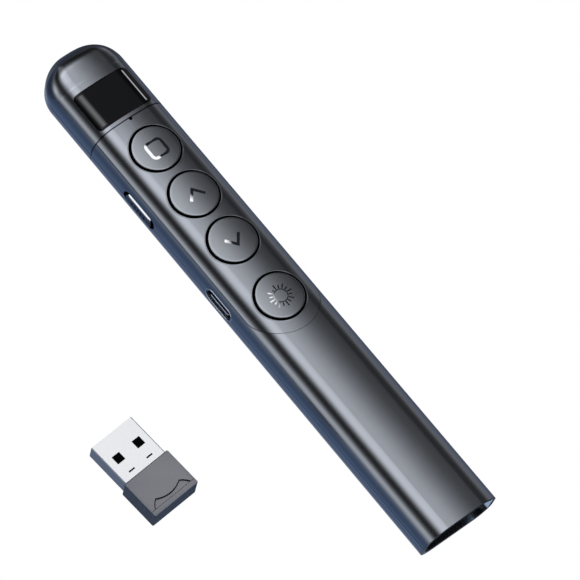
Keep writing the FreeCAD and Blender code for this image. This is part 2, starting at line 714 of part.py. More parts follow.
def make_lips():
    """Locating lips of the back cover, left out behind the port and the slide."""
    rails = []
    for side, word in ((1, "left"), (-1, "right")):
        rails.append(lip_rail("lip_root_" + word, side, ZERO, INNER_WIDTH + D["wall"] / 2, False))
        rails.append(lip_rail("lip_edge_" + word, side, D["lip_height"],
                              INNER_WIDTH - D["lip_clearance"], True))
    rail = join("MultiFuse", "lip_rails", rails)
    reach = D["slot_length"] / 2 + D["slide_travel"] + D["knob_flange_overlap"] * 2 + 1.0
    port_reach = D["port_width"] / 2 + D["port_clearance"] + 1.0
    gaps = [
        block("lip_gap_slide", SLIDE_X - reach, SLIDE_X + reach, ZERO, HALF_WIDTH,
              ZERO, D["body_height"]),
        block("lip_gap_port", PORT_X - port_reach, PORT_X + port_reach, ZERO, HALF_WIDTH,
              ZERO, D["body_height"]),
    ]
    return cut_away("lips", rail, join("MultiFuse", "lip_gaps", gaps))


def make_posts():
    """Screw posts that carry the main board."""
    posts = []
    holes = []
    floor = D["wall"] / 2
    for number, (x, y) in enumerate(POSTS, 1):
        posts.append(rod("post_%d" % number, x, y, floor, D["post_diameter"] / 2,
                         BOARD_BOTTOM - floor))
        radius = D["screw_diameter"] / 2 + D["screw_clearance"]
        depth = D["screw_length"]
        holes.append(rod("post_hole_%d" % number, x, y, BOARD_BOTTOM - depth, radius, depth * 2))
    return cut_away("posts", join("MultiFuse", "post_rods", posts),
                    join("MultiFuse", "post_holes", holes))


def make_saddles():
    """Two saddles with a half-round seat for the laser barrel."""
    half = D["barrel_diameter"] / 2 + D["saddle_thickness"]
    plates = []
    for number, offset in enumerate((D["saddle_thickness"], D["barrel_length"] / 2), 1):
        x = BARREL_TAIL_X + offset
        plates.append(block("saddle_%d" % number, x, x + D["saddle_thickness"], -half, half,
                            D["wall"] / 2, D["laser_height"]))
    seat = rod("saddle_seat", BARREL_TAIL_X, ZERO, D["laser_height"],
               D["barrel_diameter"] / 2 + D["running_gap"], D["barrel_length"], True)
    return cut_away("saddles", join("MultiFuse", "saddle_plates", plates), seat)


def make_ribs():
    """Ribs that keep the cell from sliding along the casing."""
    half = BATTERY_HALF - D["battery_round"]
    ribs = []
    for word, x in (("tail", BATTERY_TAIL_X - D["fit_gap"] - D["rib_thickness"]),
                    ("nose", BATTERY_NOSE_X + D["fit_gap"])):
        ribs.append(block("rib_" + word, x, x + D["rib_thickness"], -half, half,
                          D["wall"] / 2, D["wall"] + D["rib_height"]))
    return join("MultiFuse", "cell_ribs", ribs)


def seat_ring(name, shell, outer, inner):
    """Seat under a cover: a ring of the second layer between two outlines."""
    return cut_away(name, join("MultiCommon", name + "_band", (shell, outer)), inner)


def make_casing():
    """Back cover, upper casing, head cap, key cover and display window from one skin."""
    skin = casing_solid("skin", ZERO)
    inner = casing_solid("skin_inner", D["wall"])
    deep = casing_solid("skin_deep", D["wall"] + D["ledge_thickness"])
    wall = cut_away("casing_wall", skin, inner)
    thin_inner = casing_solid("skin_thin", D["wall"] - D["seat_gap"])
    thin_wall = cut_away("cover_wall", skin, thin_inner)
    layer = cut_away("seat_layer", inner, deep)
    upper_space = above_parting("upper_space", D["seam_gap"])
    lower_limit = above_parting("lower_limit", ZERO)
    wedge = tail_wedge()
    port_cut = side_slot("port_cut", PORT_X, PORT_Z,
                         D["port_width"] + D["port_clearance"] * 2,
                         D["port_thickness"] + D["port_clearance"] * 2)
    slide_cut = side_slot("slide_cut", SLIDE_X, SLOT_Z, D["slot_length"], D["slot_width"])
    aperture = rod("aperture", BARREL_TAIL_X, ZERO, D["laser_height"],
                   D["laser_aperture"] / 2, D["barrel_length"] * 2, True)
    indicator = rod("indicator_hole", SEAM_X - D["indicator_offset"], ZERO, SHOULDER_Z,
                    D["indicator_diameter"] / 2, D["body_height"])
    openings = join("MultiFuse", "lower_openings", (wedge, port_cut, slide_cut, aperture))

    lower_wall = cut_away("lower_wall", wall, lower_limit)
    floor = cut_away("lower_shell", lower_wall, openings)
    keep("back_cover", join("MultiFuse", "back_cover",
                            (floor, make_lips(), make_posts(), make_saddles(), make_ribs())))

    cover_front = SEAM_X - D["seam_gap"]
    rebate, seat = REBATE_Z, SEAT_Z
    outline = cover_prism("cover_outline", ZERO, cover_front, rebate)
    opening = cover_prism("cover_opening", D["seam_gap"], SEAM_X + D["head_length"], rebate)
    band = cover_prism("cover_band", D["ledge_width"], cover_front, seat)
    hollow = cover_prism("cover_hollow", -D["ledge_width"], cover_front - D["ledge_width"], seat)
    body_side = block("body_side", TAIL_X - FAR, cover_front, -FAR, FAR, -FAR, FAR)
    head_side = block("head_side", SEAM_X, SEAM_X + FAR, -FAR, FAR, -FAR, FAR)

    upper_wall = cut_away("upper_wall", join("MultiCommon", "upper_half",
                                             (wall, upper_space, body_side)), opening)
    cover_seat = seat_ring("cover_seat", layer, band, hollow)
    upper_tools = join("MultiFuse", "upper_tools", (openings, indicator))
    keep("upper_casing", cut_away("upper_casing",
                                  join("MultiFuse", "upper_shell", (upper_wall, cover_seat)),
                                  upper_tools))

    pane = window_prism("window_pane", -D["window_fit"], D["window_corner"])
    window_hole = window_prism("window_hole", ZERO, D["window_corner"])
    window_band = window_prism("window_band", D["ledge_width"], D["window_corner"])
    window_hollow = window_prism("window_hollow", -D["ledge_width"], D["window_corner"])
    head_wall = cut_away("head_wall", join("MultiCommon", "head_half",
                                           (wall, upper_space, head_side)), window_hole)
    window_seat = seat_ring("window_seat",
                            join("MultiCommon", "head_layer", (layer, head_side)),
                            window_band, window_hollow)
    head_tools = join("MultiFuse", "head_tools", (aperture, indicator))
    keep("head_cap", cut_away("head_cap",
                              join("MultiFuse", "head_shell", (head_wall, window_seat)),
                              head_tools))
    keep("display_window", join("MultiCommon", "display_window", (thin_wall, pane)))

    key_holes = [rod("key_hole_" + word, x, ZERO, SHOULDER_Z,
                     D["key_diameter"] / 2 + D["key_gap"], D["body_height"])
                 for word, x in KEYS]
    cover_tools = join("MultiFuse", "cover_tools", key_holes + [indicator])
    keep("key_cover", cut_away("key_cover",
                               join("MultiCommon", "key_cover_blank", (thin_wall, outline)),
                               cover_tools))
    return skin


def make_keys(skin):
    """Key caps trimmed by the casing skin, with the switch and moving button under each."""
    cap_radius = D["key_diameter"] / 2
    flange = cap_radius + D["key_flange_width"]
    shoulder = D["shoulder_radius"] - D["wall"]
    drop = flange - SHOULDER_Y
    flange_top = SHOULDER_Z + (shoulder * shoulder - drop * drop).root() - D["key_flange_gap"]
    flange_bottom = flange_top - D["key_flange_thickness"]
    ceiling = D["body_height"] - D["key_crown_thickness"]
    hollow = cap_radius - D["key_rim_width"]
    stem = D["key_stem_diameter"] / 2
    top = D["body_height"] + D["wall"]
    profile = ((ZERO, PLUNGER_TOP), (stem, PLUNGER_TOP), (stem, ceiling), (hollow, ceiling),
               (hollow, flange_bottom), (flange, flange_bottom), (flange, flange_top),
               (cap_radius, flange_top), (cap_radius, top), (ZERO, top))
    for word, x in KEYS:
        blank = new_body(word + "_key_blank")
        placed = [(x + u, v) for u, v in profile]
        sketch = new_sketch(blank, "XZ_Plane", ZERO)
        draw_polygon(sketch, placed)
        spin = blank.newObject("PartDesign::Revolution", word + "_key_turn")
        spin.Profile = sketch
        spin.ReferenceAxis = (sketch, ["Edge%d" % len(placed)])
        spin.Angle = 360.0
        finish_feature(blank, spin, True)
        keep(word + "_key", join("MultiCommon", word + "_key", (skin, blank)))
        make_key_switch(word, x)


def make_key_switch(word, x):
    """Low square switch with a round moving button."""
    half = D["switch_width"] / 2
    hole = D["plunger_diameter"] / 2 + D["running_gap"]
    body = new_body(word + "_switch")
    extrude(body, "XY_Plane", lambda sketch: draw_rectangle(sketch, x - half, x + half, -half, half),
            BOARD_TOP, SWITCH_TOP)
    pocket(body, "XY_Plane", lambda sketch: draw_circle(sketch, x, ZERO, hole),
           BOARD_TOP, SWITCH_TOP)
    soften(body, word + "_switch_corners", D["key_travel"], lambda edge: runs_along(edge, UP))
    keep(word + "_switch", body)
    bottom = BOARD_TOP + D["key_travel"] + D["running_gap"]
    keep(word + "_switch_plunger", rod(word + "_switch_plunger", x, ZERO, bottom,
                                       D["plunger_diameter"] / 2, PLUNGER_TOP - bottom))


# Display, port and power slide


def make_display():
    """Display panel under the window and the ribbon that folds round to the board."""
    half = D["window_width"] / 2 - D["ledge_width"] - D["panel_side_gap"]
    panel = new_body("display_panel")
    nose = PANEL_NOSE_X
    top = PANEL_BOTTOM + D["panel_thickness"]
    extrude(panel, "XY_Plane", lambda sketch: draw_rectangle(sketch, PANEL_X, nose, -half, half),
            PANEL_BOTTOM, top)
    glass_step = D["panel_thickness"] / 2
    pocket(panel, "XY_Plane",
           lambda sketch: draw_rectangle(sketch, nose - D["ledge_width"], nose, -half, half),
           top - glass_step, top)
    keep("display_panel", panel)

    inner = D["flex_bend"]
    outer = inner + D["flex_thickness"]
    middle_z = PANEL_BOTTOM - outer
    reach = D["ledge_width"]
    side = -D["flex_side_offset"]
    ribbon = new_body("display_flex")

    def draw_ribbon(sketch):
        x, z, out, rad = float(nose), float(middle_z), float(outer), float(inner)
        far_top, far_low = float(nose - reach), float(nose - D["flex_run"])
        quarter = math.pi / 2
        curves = (
            Part.LineSegment(Vector(far_top, z + out, 0), Vector(x, z + out, 0)),
            arc_of(x, z, out, -quarter, quarter),
            Part.LineSegment(Vector(x, z - out, 0), Vector(far_low, z - out, 0)),
            Part.LineSegment(Vector(far_low, z - out, 0), Vector(far_low, z - rad, 0)),
            Part.LineSegment(Vector(far_low, z - rad, 0), Vector(x, z - rad, 0)),
            arc_of(x, z, rad, -quarter, quarter),
            Part.LineSegment(Vector(x, z + rad, 0), Vector(far_top, z + rad, 0)),
            Part.LineSegment(Vector(far_top, z + rad, 0), Vector(far_top, z + out, 0)),
        )
        for curve in curves:
            sketch.addGeometry(curve, False)
        rule = Sketcher.Constraint
        joints = (("Tangent", 0, 2, 1, 2), ("Tangent", 1, 1, 2, 1), ("Coincident", 2, 2, 3, 1),
                  ("Coincident", 3, 2, 4, 1), ("Tangent", 4, 2, 5, 1), ("Tangent", 5, 2, 6, 1),
                  ("Coincident", 6, 2, 7, 1), ("Coincident", 7, 2, 0, 1))
        for kind, one, one_end, two, two_end in joints:
            sketch.addConstraint(rule(kind, one, one_end, two, two_end))
        for line in (0, 2, 4, 6):
            sketch.addConstraint(rule("Horizontal", line))
        for line in (3, 7):
            sketch.addConstraint(rule("Vertical", line))
        fix_radius(sketch, 1, outer)
        fix_radius(sketch, 5, inner)
        fix_point(sketch, 1, 3, nose, middle_z)
        sketch.addConstraint(rule("Coincident", 5, 3, 1, 3))
        for curve, place in ((3, nose - D["flex_run"]), (7, nose - reach)):
            number = sketch.addConstraint(rule("DistanceX", -1, 1, curve, 1, float(place)))
            sketch.setExpression("Constraints[%d]" % number, place.formula)

    extrude(ribbon, "XZ_Plane", draw_ribbon, side - D["flex_width"], side)
    keep("display_flex", ribbon)


def make_port():
    """Charging port: drawn shell and the insulator with its contact tongue."""
    z = PORT_Z
    shell = new_body("port_shell")
    extrude(shell, "XZ_Plane",
            lambda sketch: draw_slot(sketch, PORT_X, z, D["port_width"], D["port_thickness"]),
            PORT_BACK_Y, PORT_MOUTH_Y)
    thin = D["port_wall"]
    pocket(shell, "XZ_Plane",
           lambda sketch: draw_slot(sketch, PORT_X, z, D["port_width"] - thin * 2,
                                    D["port_thickness"] - thin * 2),
           PORT_BACK_Y + thin, PORT_MOUTH_Y)
    keep("port_shell", shell)

    tongue = new_body("port_tongue")
    trim = thin * 2 + D["running_gap"]
    base_y = PORT_BACK_Y + thin
    extrude(tongue, "XZ_Plane",
            lambda sketch: draw_slot(sketch, PORT_X, z, D["port_width"] - trim,
                                     D["port_thickness"] - trim),
            base_y, base_y + D["port_depth"] / 5)
    half_w = D["port_tongue_width"] / 2
    half_t = D["port_tongue_thickness"] / 2
    extrude(tongue, "XZ_Plane",
            lambda sketch: draw_rectangle(sketch, PORT_X - half_w, PORT_X + half_w,
                                          z - half_t, z + half_t),
            base_y, PORT_MOUTH_Y - D["port_tongue_recess"])
    keep("port_tongue", tongue)


def make_power_slide():
    """Grooved knob in its slot, and the slide switch whose lever it carries along."""
    z = SLOT_Z
    half_l = D["knob_length"] / 2
    half_w = D["knob_width"] / 2
    face_y = HALF_WIDTH + D["knob_proud"]
    knob = new_body("slide_knob")
    extrude(knob, "XZ_Plane",
            lambda sketch: draw_rectangle(sketch, SLIDE_X - half_l, SLIDE_X + half_l,
                                          z - half_w, z + half_w),
            FLANGE_OUT_Y, face_y)
    soften(knob, "knob_corners", D["knob_corner"], lambda edge: runs_along(edge, ACROSS))
    soften(knob, "knob_rim", D["knob_edge"], lambda edge: lies_at(edge, ACROSS, face_y))
    flange_l = D["slot_length"] / 2 + D["slide_travel"] + D["knob_flange_overlap"]
    flange_w = D["slot_width"] / 2 + D["knob_flange_margin"]
    extrude(knob, "XZ_Plane",
            lambda sketch: draw_rectangle(sketch, SLIDE_X - flange_l, SLIDE_X + flange_l,
                                          z - flange_w, z + flange_w),
            FLANGE_IN_Y, FLANGE_OUT_Y)

    def draw_grooves(sketch):
        half_g = D["knob_groove_width"] / 2
        for step in (-2, -1, 0, 1, 2):
            x = SLIDE_X + D["knob_groove_pitch"] * step
            draw_rectangle(sketch, x - half_g, x + half_g, z - D["knob_width"], z + half_w / 2)

    pocket(knob, "XZ_Plane", draw_grooves, face_y - D["knob_groove_depth"], face_y)
    hole = D["lever_size"] / 2 + D["running_gap"]
    pocket(knob, "XZ_Plane",
           lambda sketch: draw_rectangle(sketch, SLIDE_X - hole, SLIDE_X + hole,
                                         z - hole, z + hole),
           FLANGE_IN_Y, FLANGE_IN_Y + D["lever_reach"] + D["running_gap"])
    keep("slide_knob", knob)

    can = new_body("slide_switch_body")
    half_can = D["can_length"] / 2
    back_y = CAN_FRONT_Y - D["can_width"]
    extrude(can, "XZ_Plane",
            lambda sketch: draw_rectangle(sketch, SLIDE_X - half_can, SLIDE_X + half_can,
                                          BOARD_BOTTOM - D["can_height"], BOARD_BOTTOM),
            back_y, CAN_FRONT_Y)
    reach = D["lever_size"] / 2 + D["slide_travel"] + D["fit_gap"]
    depth_y = back_y + D["can_width"] / 2
    pocket(can, "XZ_Plane",
           lambda sketch: draw_rectangle(sketch, SLIDE_X - reach, SLIDE_X + reach,
                                         z - hole, z + hole),
           depth_y, CAN_FRONT_Y)
    keep("slide_switch_body", can)
    half_lever = D["lever_size"] / 2
    keep("slide_switch_lever",
         block("slide_switch_lever", SLIDE_X - half_lever, SLIDE_X + half_lever,
               depth_y + D["running_gap"], FLANGE_IN_Y + D["lever_reach"],
               z - half_lever, z + half_lever))


# Board, cell and leads


def make_board():
    """Main board with its screws and the chips under it."""
    board = new_body("main_board")
    half = INNER_WIDTH - D["board_side_gap"]
    extrude(board, "XY_Plane",
            lambda sketch: draw_rectangle(sketch, BOARD_TAIL_X, BOARD_NOSE_X, -half, half),
            BOARD_BOTTOM, BOARD_TOP)
    soften(board, "board_corners", D["window_corner"], lambda edge: runs_along(edge, UP))
    radius = D["screw_diameter"] / 2 + D["screw_clearance"]

    def draw_holes(sketch):
        for x, y in POSTS:
            draw_circle(sketch, x, y, radius)

    pocket(board, "XY_Plane", draw_holes, BOARD_BOTTOM, BOARD_TOP)
    keep("main_board", board)

    screws = []
    for number, (x, y) in enumerate(POSTS, 1):
        shank_bottom = BOARD_TOP - D["screw_length"]
        screws.append(rod("screw_shank_%d" % number, x, y, shank_bottom,
                          D["screw_diameter"] / 2, D["screw_length"]))
        screws.append(rod("screw_head_%d" % number, x, y, BOARD_TOP,
                          D["screw_head_diameter"] / 2, D["screw_head_height"]))
    keep("board_screws", join("MultiFuse", "board_screws", screws))

    for name in ("controller_chip", "crystal", "motion_sensor", "charger_chip", "chip_antenna"):
        chip(name, SEAM_X - D[name + "_offset"], -D[name + "_side"])
    chip("indicator_led", SEAM_X - D["indicator_offset"], ZERO, True)


def make_battery():
    """Pouch cell with rounded long edges, its folded seal and the foam pad under it."""
    half = BATTERY_HALF
    top = BATTERY_BOTTOM + D["battery_thickness"]
    cell = new_body("battery_cell")
    body_nose = BATTERY_NOSE_X - D["battery_seal"]
    extrude(cell, "YZ_Plane",
            lambda sketch: draw_rectangle(sketch, -half, half, BATTERY_BOTTOM, top),
            BATTERY_TAIL_X, body_nose)
    soften(cell, "cell_edges", D["battery_round"], lambda edge: runs_along(edge, ALONG))
    seal = half - D["battery_round"]
    extrude(cell, "YZ_Plane",
            lambda sketch: draw_rectangle(sketch, -seal, seal, BATTERY_BOTTOM
                                          + D["battery_thickness"] / 4, top
                                          - D["battery_round"]),
            body_nose, BATTERY_NOSE_X)
    keep("battery_cell", cell)
    inset = D["foam_inset"]
    side = HALF_WIDTH - D["belly_radius"] - D["foam_side_gap"]
    keep("battery_foam",
         block("battery_foam", BATTERY_TAIL_X + inset, body_nose - inset,
               -side, side, D["wall"], BATTERY_BOTTOM))


def lead(name, x_start, y, z_start, x_end, diameter):
    """Insulated lead: a level run, one bend and a rise to its pad under the board."""
    start, end = float(x_start), float(x_end)
    height, top, side = float(z_start), float(BOARD_BOTTOM), float(y)
    bend = float(D["lead_bend"])
    way = 1.0 if end > start else -1.0
    turn_x = end - way * bend
    slack = bend * (1 - math.sqrt(0.5))
    path = Part.Wire([
        Part.LineSegment(Vector(start, side, height), Vector(turn_x, side, height)).toShape(),
        Part.Arc(Vector(turn_x, side, height), Vector(end - way * slack, side, height + slack),
                 Vector(end, side, height + bend)).toShape(),
        Part.LineSegment(Vector(end, side, height + bend), Vector(end, side, top)).toShape(),
    ])
    circle = Part.makeCircle(float(diameter) / 2, Vector(start, side, height), Vector(1, 0, 0))
    item = DOC.addObject("Part::Feature", name)
    item.Shape = path.makePipeShell([Part.Wire([circle])], True, True)
    return keep(name, item)


def make_leads():
    """Two leads from the cell and two from the laser, each soldered under the board."""
    half = D["lead_pitch"] / 2
    level = BATTERY_BOTTOM + D["battery_thickness"] / 2
    pad_x = BOARD_TAIL_X + D["lead_diameter"]
    lead("battery_lead_red", BATTERY_NOSE_X, half, level, pad_x, D["lead_diameter"])
    lead("battery_lead_black", BATTERY_NOSE_X, -half, level, pad_x, D["lead_diameter"])
    half = D["diode_lead_pitch"] / 2
    back = BARREL_TAIL_X - D["diode_flange_thickness"]
    pad_x = BOARD_NOSE_X - D["lead_bend"]
    lead("laser_lead_red", back, half, D["laser_height"], pad_x, D["diode_lead_diameter"])
    lead("laser_lead_black", back, -half, D["laser_height"], pad_x, D["diode_lead_diameter"])


def make_laser():
    """Turned barrel in its saddles, the lens in the snout and the diode pressed in behind."""
    z = D["laser_height"]
    tail, front = BARREL_TAIL_X, LASER_FRONT_X
    shoulder = front - D["snout_length"]
    bore = D["diode_diameter"] / 2 + D["running_gap"]
    throat = D["lens_diameter"] / 2 - D["port_wall"]
    seat = D["lens_diameter"] / 2 + D["running_gap"]
    lens_back = front - D["lens_thickness"] - D["fit_gap"]
    outer, snout = D["barrel_diameter"] / 2, D["snout_diameter"] / 2
    diode_end = tail + D["diode_length"] + D["fit_gap"]
    barrel = new_body("laser_barrel")
    turn(barrel, "XZ_Plane",
         ((tail, bore), (tail, outer), (shoulder, outer), (shoulder, snout), (front, snout),
          (front, seat), (lens_back, seat), (lens_back, throat), (diode_end, throat),
          (diode_end, bore)), ZERO, z, "H_Axis")
    keep("laser_barrel", barrel)

    lens = new_body("laser_lens")
    rim = D["lens_diameter"] / 2
    bevel = D["lens_thickness"] / 4
    lens_front = lens_back + D["lens_thickness"]
    turn(lens, "XZ_Plane",
         ((lens_back, ZERO), (lens_back, rim), (lens_front - bevel, rim),
          (lens_front, rim - bevel), (lens_front, ZERO)), ZERO, z, "H_Axis")
    keep("laser_lens", lens)

    diode = new_body("laser_diode")
    can = D["diode_diameter"] / 2
    base = D["diode_flange_diameter"] / 2
    base_back = tail - D["diode_flange_thickness"]
    can_end = tail + D["diode_length"]
    turn(diode, "XZ_Plane",
         ((base_back, ZERO), (base_back, base), (tail, base), (tail, can), (can_end, can),
          (can_end, ZERO)), ZERO, z, "H_Axis")
    keep("laser_diode", diode)


def make_bay():
    """Liner that fills the tail between the casing halves and holds the receiver."""
    inset = D["wall"] + D["fit_gap"]
    blank = DOC.addObject("Part::Feature", "bay_blank")
    face = Part.Face(section_wire(float(BAY_X), float(inset)))
    blank.Shape = face.extrude(Vector(float(BAY_END_X - BAY_X), 0, 0))
    half_w = D["housing_width"] / 2 + D["bay_clearance"]
    half_t = D["housing_thickness"] / 2 + D["bay_clearance"]
    slot = new_body("bay_slot")
    extrude(slot, "YZ_Plane",
            lambda sketch: draw_rectangle(sketch, -half_w, half_w, D["bay_height"] - half_t,
                                          D["bay_height"] + half_t),
            BAY_X - D["bay_recess"], BAY_END_X - D["bay_end_wall"])
    soften(slot, "bay_slot_corners", D["housing_corner"], lambda edge: runs_along(edge, ALONG))
    keep("receiver_bay", cut_away("receiver_bay", blank, slot))


# Receiver, modelled about the front of its housing and then laid on the table


def lay_down(body):
    """Put a receiver piece where the receiver lies."""
    body.Placement.Rotation = FreeCAD.Rotation(Vector(0, 0, 1), float(D["receiver_turn"]))
    bind(body, "Placement.Base.x", D["receiver_x"])
    bind(body, "Placement.Base.y", D["receiver_y"])
    bind(body, "Placement.Rotation.Angle", D["receiver_turn"])
    return keep(body.Label, body)


def make_plug():
    """Drawn plug shell with latch holes, its insulator and the four contacts."""
    z = D["housing_thickness"] / 2
    half_w, half_t = D["plug_width"] / 2, D["plug_thickness"] / 2
    thin = D["plug_wall"]
    tip = D["plug_length"]
    shell = new_body("receiver_plug_shell")
    extrude(shell, "YZ_Plane",
            lambda sketch: draw_rectangle(sketch, -half_w, half_w, z - half_t, z + half_t),
            -D["plug_root"], tip)
    soften(shell, "plug_edges", thin, lambda edge: runs_along(edge, ALONG))
    pocket(shell, "YZ_Plane",
           lambda sketch: draw_rectangle(sketch, -half_w + thin, half_w - thin,
                                         z - half_t + thin, z + half_t - thin),
           -D["plug_root"], tip)

    def draw_openings(sketch):
        half = D["plug_hole"] / 2
        x = tip - D["plug_hole_offset"]
        seam_x = D["plug_slot_offset"]
        for side in (1, -1):
            y = D["plug_hole_pitch"] / 2 * side
            draw_rectangle(sketch, x - half, x + half, y - half, y + half)

    pocket(shell, "XY_Plane", draw_openings, z - half_t, z + half_t)

    def draw_seams(sketch):
        for side in (1, -1):
            y = D["plug_slot_pitch"] / 2 * side
            draw_rectangle(sketch, D["plug_slot_offset"],
                           D["plug_slot_offset"] + D["plug_slot_width"],
                           y - D["plug_slot_length"] / 2, y + D["plug_slot_length"] / 2)

    pocket(shell, "XY_Plane", draw_seams, z, z + half_t)
    lay_down(shell)

    tongue = new_body("receiver_plug_tongue")
    side = half_w - thin - D["running_gap"]
    low = z - half_t + thin
    high = low + D["plug_tongue_thickness"]
    extrude(tongue, "XY_Plane",
            lambda sketch: draw_rectangle(sketch, -D["plug_root"], tip - thin, -side, side),
            low, high)
    lay_down(tongue)

    contacts = new_body("receiver_contacts")

    def draw_strips(sketch):
        half = D["contact_width"] / 2
        for step in (-1.5, -0.5, 0.5, 1.5):
            y = D["contact_pitch"] * step
            draw_rectangle(sketch, tip - D["plug_wall"] * 3 - D["contact_length"],
                           tip - D["plug_wall"] * 3, y - half, y + half)

    extrude(contacts, "XY_Plane", draw_strips, high, high + D["contact_thickness"])
    lay_down(contacts)


def make_housing():
    """Moulded housing with a socket for the plug, a cavity and a scalloped finger recess."""
    half = D["housing_width"] / 2
    top = D["housing_thickness"]
    z = top / 2
    back = -D["housing_length"]
    housing = new_body("receiver_housing")
    extrude(housing, "XY_Plane", lambda sketch: draw_rectangle(sketch, back, ZERO, -half, half),
            ZERO, top)
    soften(housing, "housing_corners", D["housing_corner"], lambda edge: runs_along(edge, UP))
    soften(housing, "housing_edges", D["housing_edge"],
           lambda edge: lies_at(edge, UP, top) or lies_at(edge, UP, ZERO))
    plug_w = D["plug_width"] / 2 + D["running_gap"]
    plug_t = D["plug_thickness"] / 2 + D["running_gap"]
    root = D["plug_root"] + D["running_gap"]
    pocket(housing, "YZ_Plane",
           lambda sketch: draw_rectangle(sketch, -plug_w, plug_w, z - plug_t, z + plug_t),
           -root, ZERO)
    wall = D["housing_wall"]
    pocket(housing, "YZ_Plane",
           lambda sketch: draw_rectangle(sketch, -(half - wall), half - wall, wall, top - wall),
           back + wall, -root)
    start = back + D["grip_margin"]
    line = start + D["grip_length"]
    reach = D["grip_width"] / 2
    pitch = D["grip_pitch"]
    pocket(housing, "XY_Plane",
           lambda sketch: draw_rectangle(sketch, start, line, -reach, reach),
           top - D["grip_depth"], top)
    for x, y in ((line, -pitch), (line + D["grip_step"], ZERO), (line, pitch)):
        pocket(housing, "XY_Plane",
               lambda sketch, x=x, y=y: draw_circle(sketch, x, y, D["grip_radius"]),
               top - D["grip_depth"], top)
    lay_down(housing)

    board = new_body("receiver_board")
    side = half - wall - D["running_gap"]
    gap = D["running_gap"]
    low = z - D["board_thickness"] / 2
    extrude(board, "XY_Plane",
            lambda sketch: draw_rectangle(sketch, back + wall + gap, -root - gap, -side, side),
            low, low + D["board_thickness"])
    lay_down(board)
    chip_body = new_body("receiver_chip")
    level = low + D["board_thickness"]
    middle = (back - root) / 2 + wall / 2
    half_chip = D["plug_tongue_thickness"] * 0.8
    extrude(chip_body, "XY_Plane",
            lambda sketch: draw_rectangle(sketch, middle - half_chip, middle + half_chip,
                                          -half_chip, half_chip),
            level, level + D["board_thickness"])
    lay_down(chip_body)


def check_document():
    """Stop if any object failed or any sub-part has no sound shape."""
    DOC.recompute()
    for item in DOC.Objects:
        if "Invalid" in item.State or "Error" in item.State:
            raise ValueError("%s failed: %s" % (item.Name, item.State))
    for name, item in PIECES.items():
        shape = item.Shape
        if shape.isNull() or not shape.isValid() or not shape.Solids:
            raise ValueError(name + " has no sound solid")


def write_pieces():
    os.makedirs("parts", exist_ok=True)
    for name, item in PIECES.items():
        item.Shape.exportStep("parts/%s.step" % name)
        print("%-22s solids %d volume %.1f" % (name, len(item.Shape.Solids), item.Shape.Volume))


casing_skin = make_casing()
make_keys(casing_skin)
make_display()
make_port()
make_power_slide()
make_board()
make_battery()
make_laser()
make_leads()
make_bay()
make_plug()
make_housing()
check_document()
write_pieces()
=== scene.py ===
# %% [markdown]
# # A presentation clicker and its receiver, dressed for the camera
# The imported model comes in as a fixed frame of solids. Every solid keeps its place and gets a
# finish. The key caps, the window and the receiver's housing get finer shapes of their own, and the
# slide, the charging port and the key holes get thin edges that catch the light.

import json
import math

import bmesh
import bpy
import numpy as np
from mathutils import Matrix, Vector


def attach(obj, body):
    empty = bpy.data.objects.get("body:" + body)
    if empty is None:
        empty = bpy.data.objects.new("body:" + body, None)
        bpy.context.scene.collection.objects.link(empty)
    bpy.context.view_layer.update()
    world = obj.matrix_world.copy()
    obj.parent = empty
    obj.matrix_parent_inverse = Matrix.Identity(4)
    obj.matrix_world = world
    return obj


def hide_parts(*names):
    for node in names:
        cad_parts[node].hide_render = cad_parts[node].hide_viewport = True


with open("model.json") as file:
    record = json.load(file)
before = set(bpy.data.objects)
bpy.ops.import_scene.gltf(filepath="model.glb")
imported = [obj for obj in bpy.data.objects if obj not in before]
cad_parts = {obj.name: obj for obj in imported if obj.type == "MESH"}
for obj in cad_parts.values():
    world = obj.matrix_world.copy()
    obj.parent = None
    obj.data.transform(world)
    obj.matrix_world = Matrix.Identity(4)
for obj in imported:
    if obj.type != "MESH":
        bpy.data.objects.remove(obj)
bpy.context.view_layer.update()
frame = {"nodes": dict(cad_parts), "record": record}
NODES = frame["nodes"]
MM = 0.001

# %% [markdown]
# ## Camera
# The place and the turn were fitted to the photograph, with the plug as the ruler. The camera is far
# away and its lens is long, so the casing's long edges stay nearly parallel. Its turn is given by
# two directions, the picture's right and its down, because they can be checked by eye.

# %% Camera
FRAME_WIDTH, SENSOR_WIDTH = 580, 36.0
FOCAL_PIXELS, NEAREST = 4015.6, 0.05
CAMERA_PLACE = (-0.25825, 0.33499, 0.81225)  # metres
RIGHT = Vector((-0.6199, -0.7736, 0.1318)).normalized()
DOWN = Vector((-0.7337, 0.5117, -0.4471)).normalized()
FORWARD = RIGHT.cross(DOWN).normalized()
DOWN = FORWARD.cross(RIGHT).normalized()
camera_data = bpy.data.cameras.new("camera")
camera_data.sensor_width = SENSOR_WIDTH
camera_data.lens = FOCAL_PIXELS / FRAME_WIDTH * SENSOR_WIDTH
camera_data.clip_start = NEAREST
camera = bpy.data.objects.new("camera", camera_data)
turn = Matrix((RIGHT, -DOWN, -FORWARD)).transposed()
camera.matrix_world = Matrix.Translation(CAMERA_PLACE) @ turn.to_4x4()
bpy.context.scene.collection.objects.link(camera)
bpy.context.scene.camera = camera
bpy.context.scene.view_settings.view_transform = "Standard"
print("camera looks along", [round(v, 3) for v in FORWARD])

# %% [markdown]
# ## Small helpers for node graphs
# Each helper adds one kind of node and gives back the socket that the next one reads. An input is
# either linked to a socket or set to a number or a colour.

# %% Node helpers
def feed(tree, socket, value):
    """Link a socket to another one, or set its number, colour or vector."""
    if isinstance(value, bpy.types.NodeSocket):
        tree.links.new(value, socket)
    else:
        socket.default_value = value


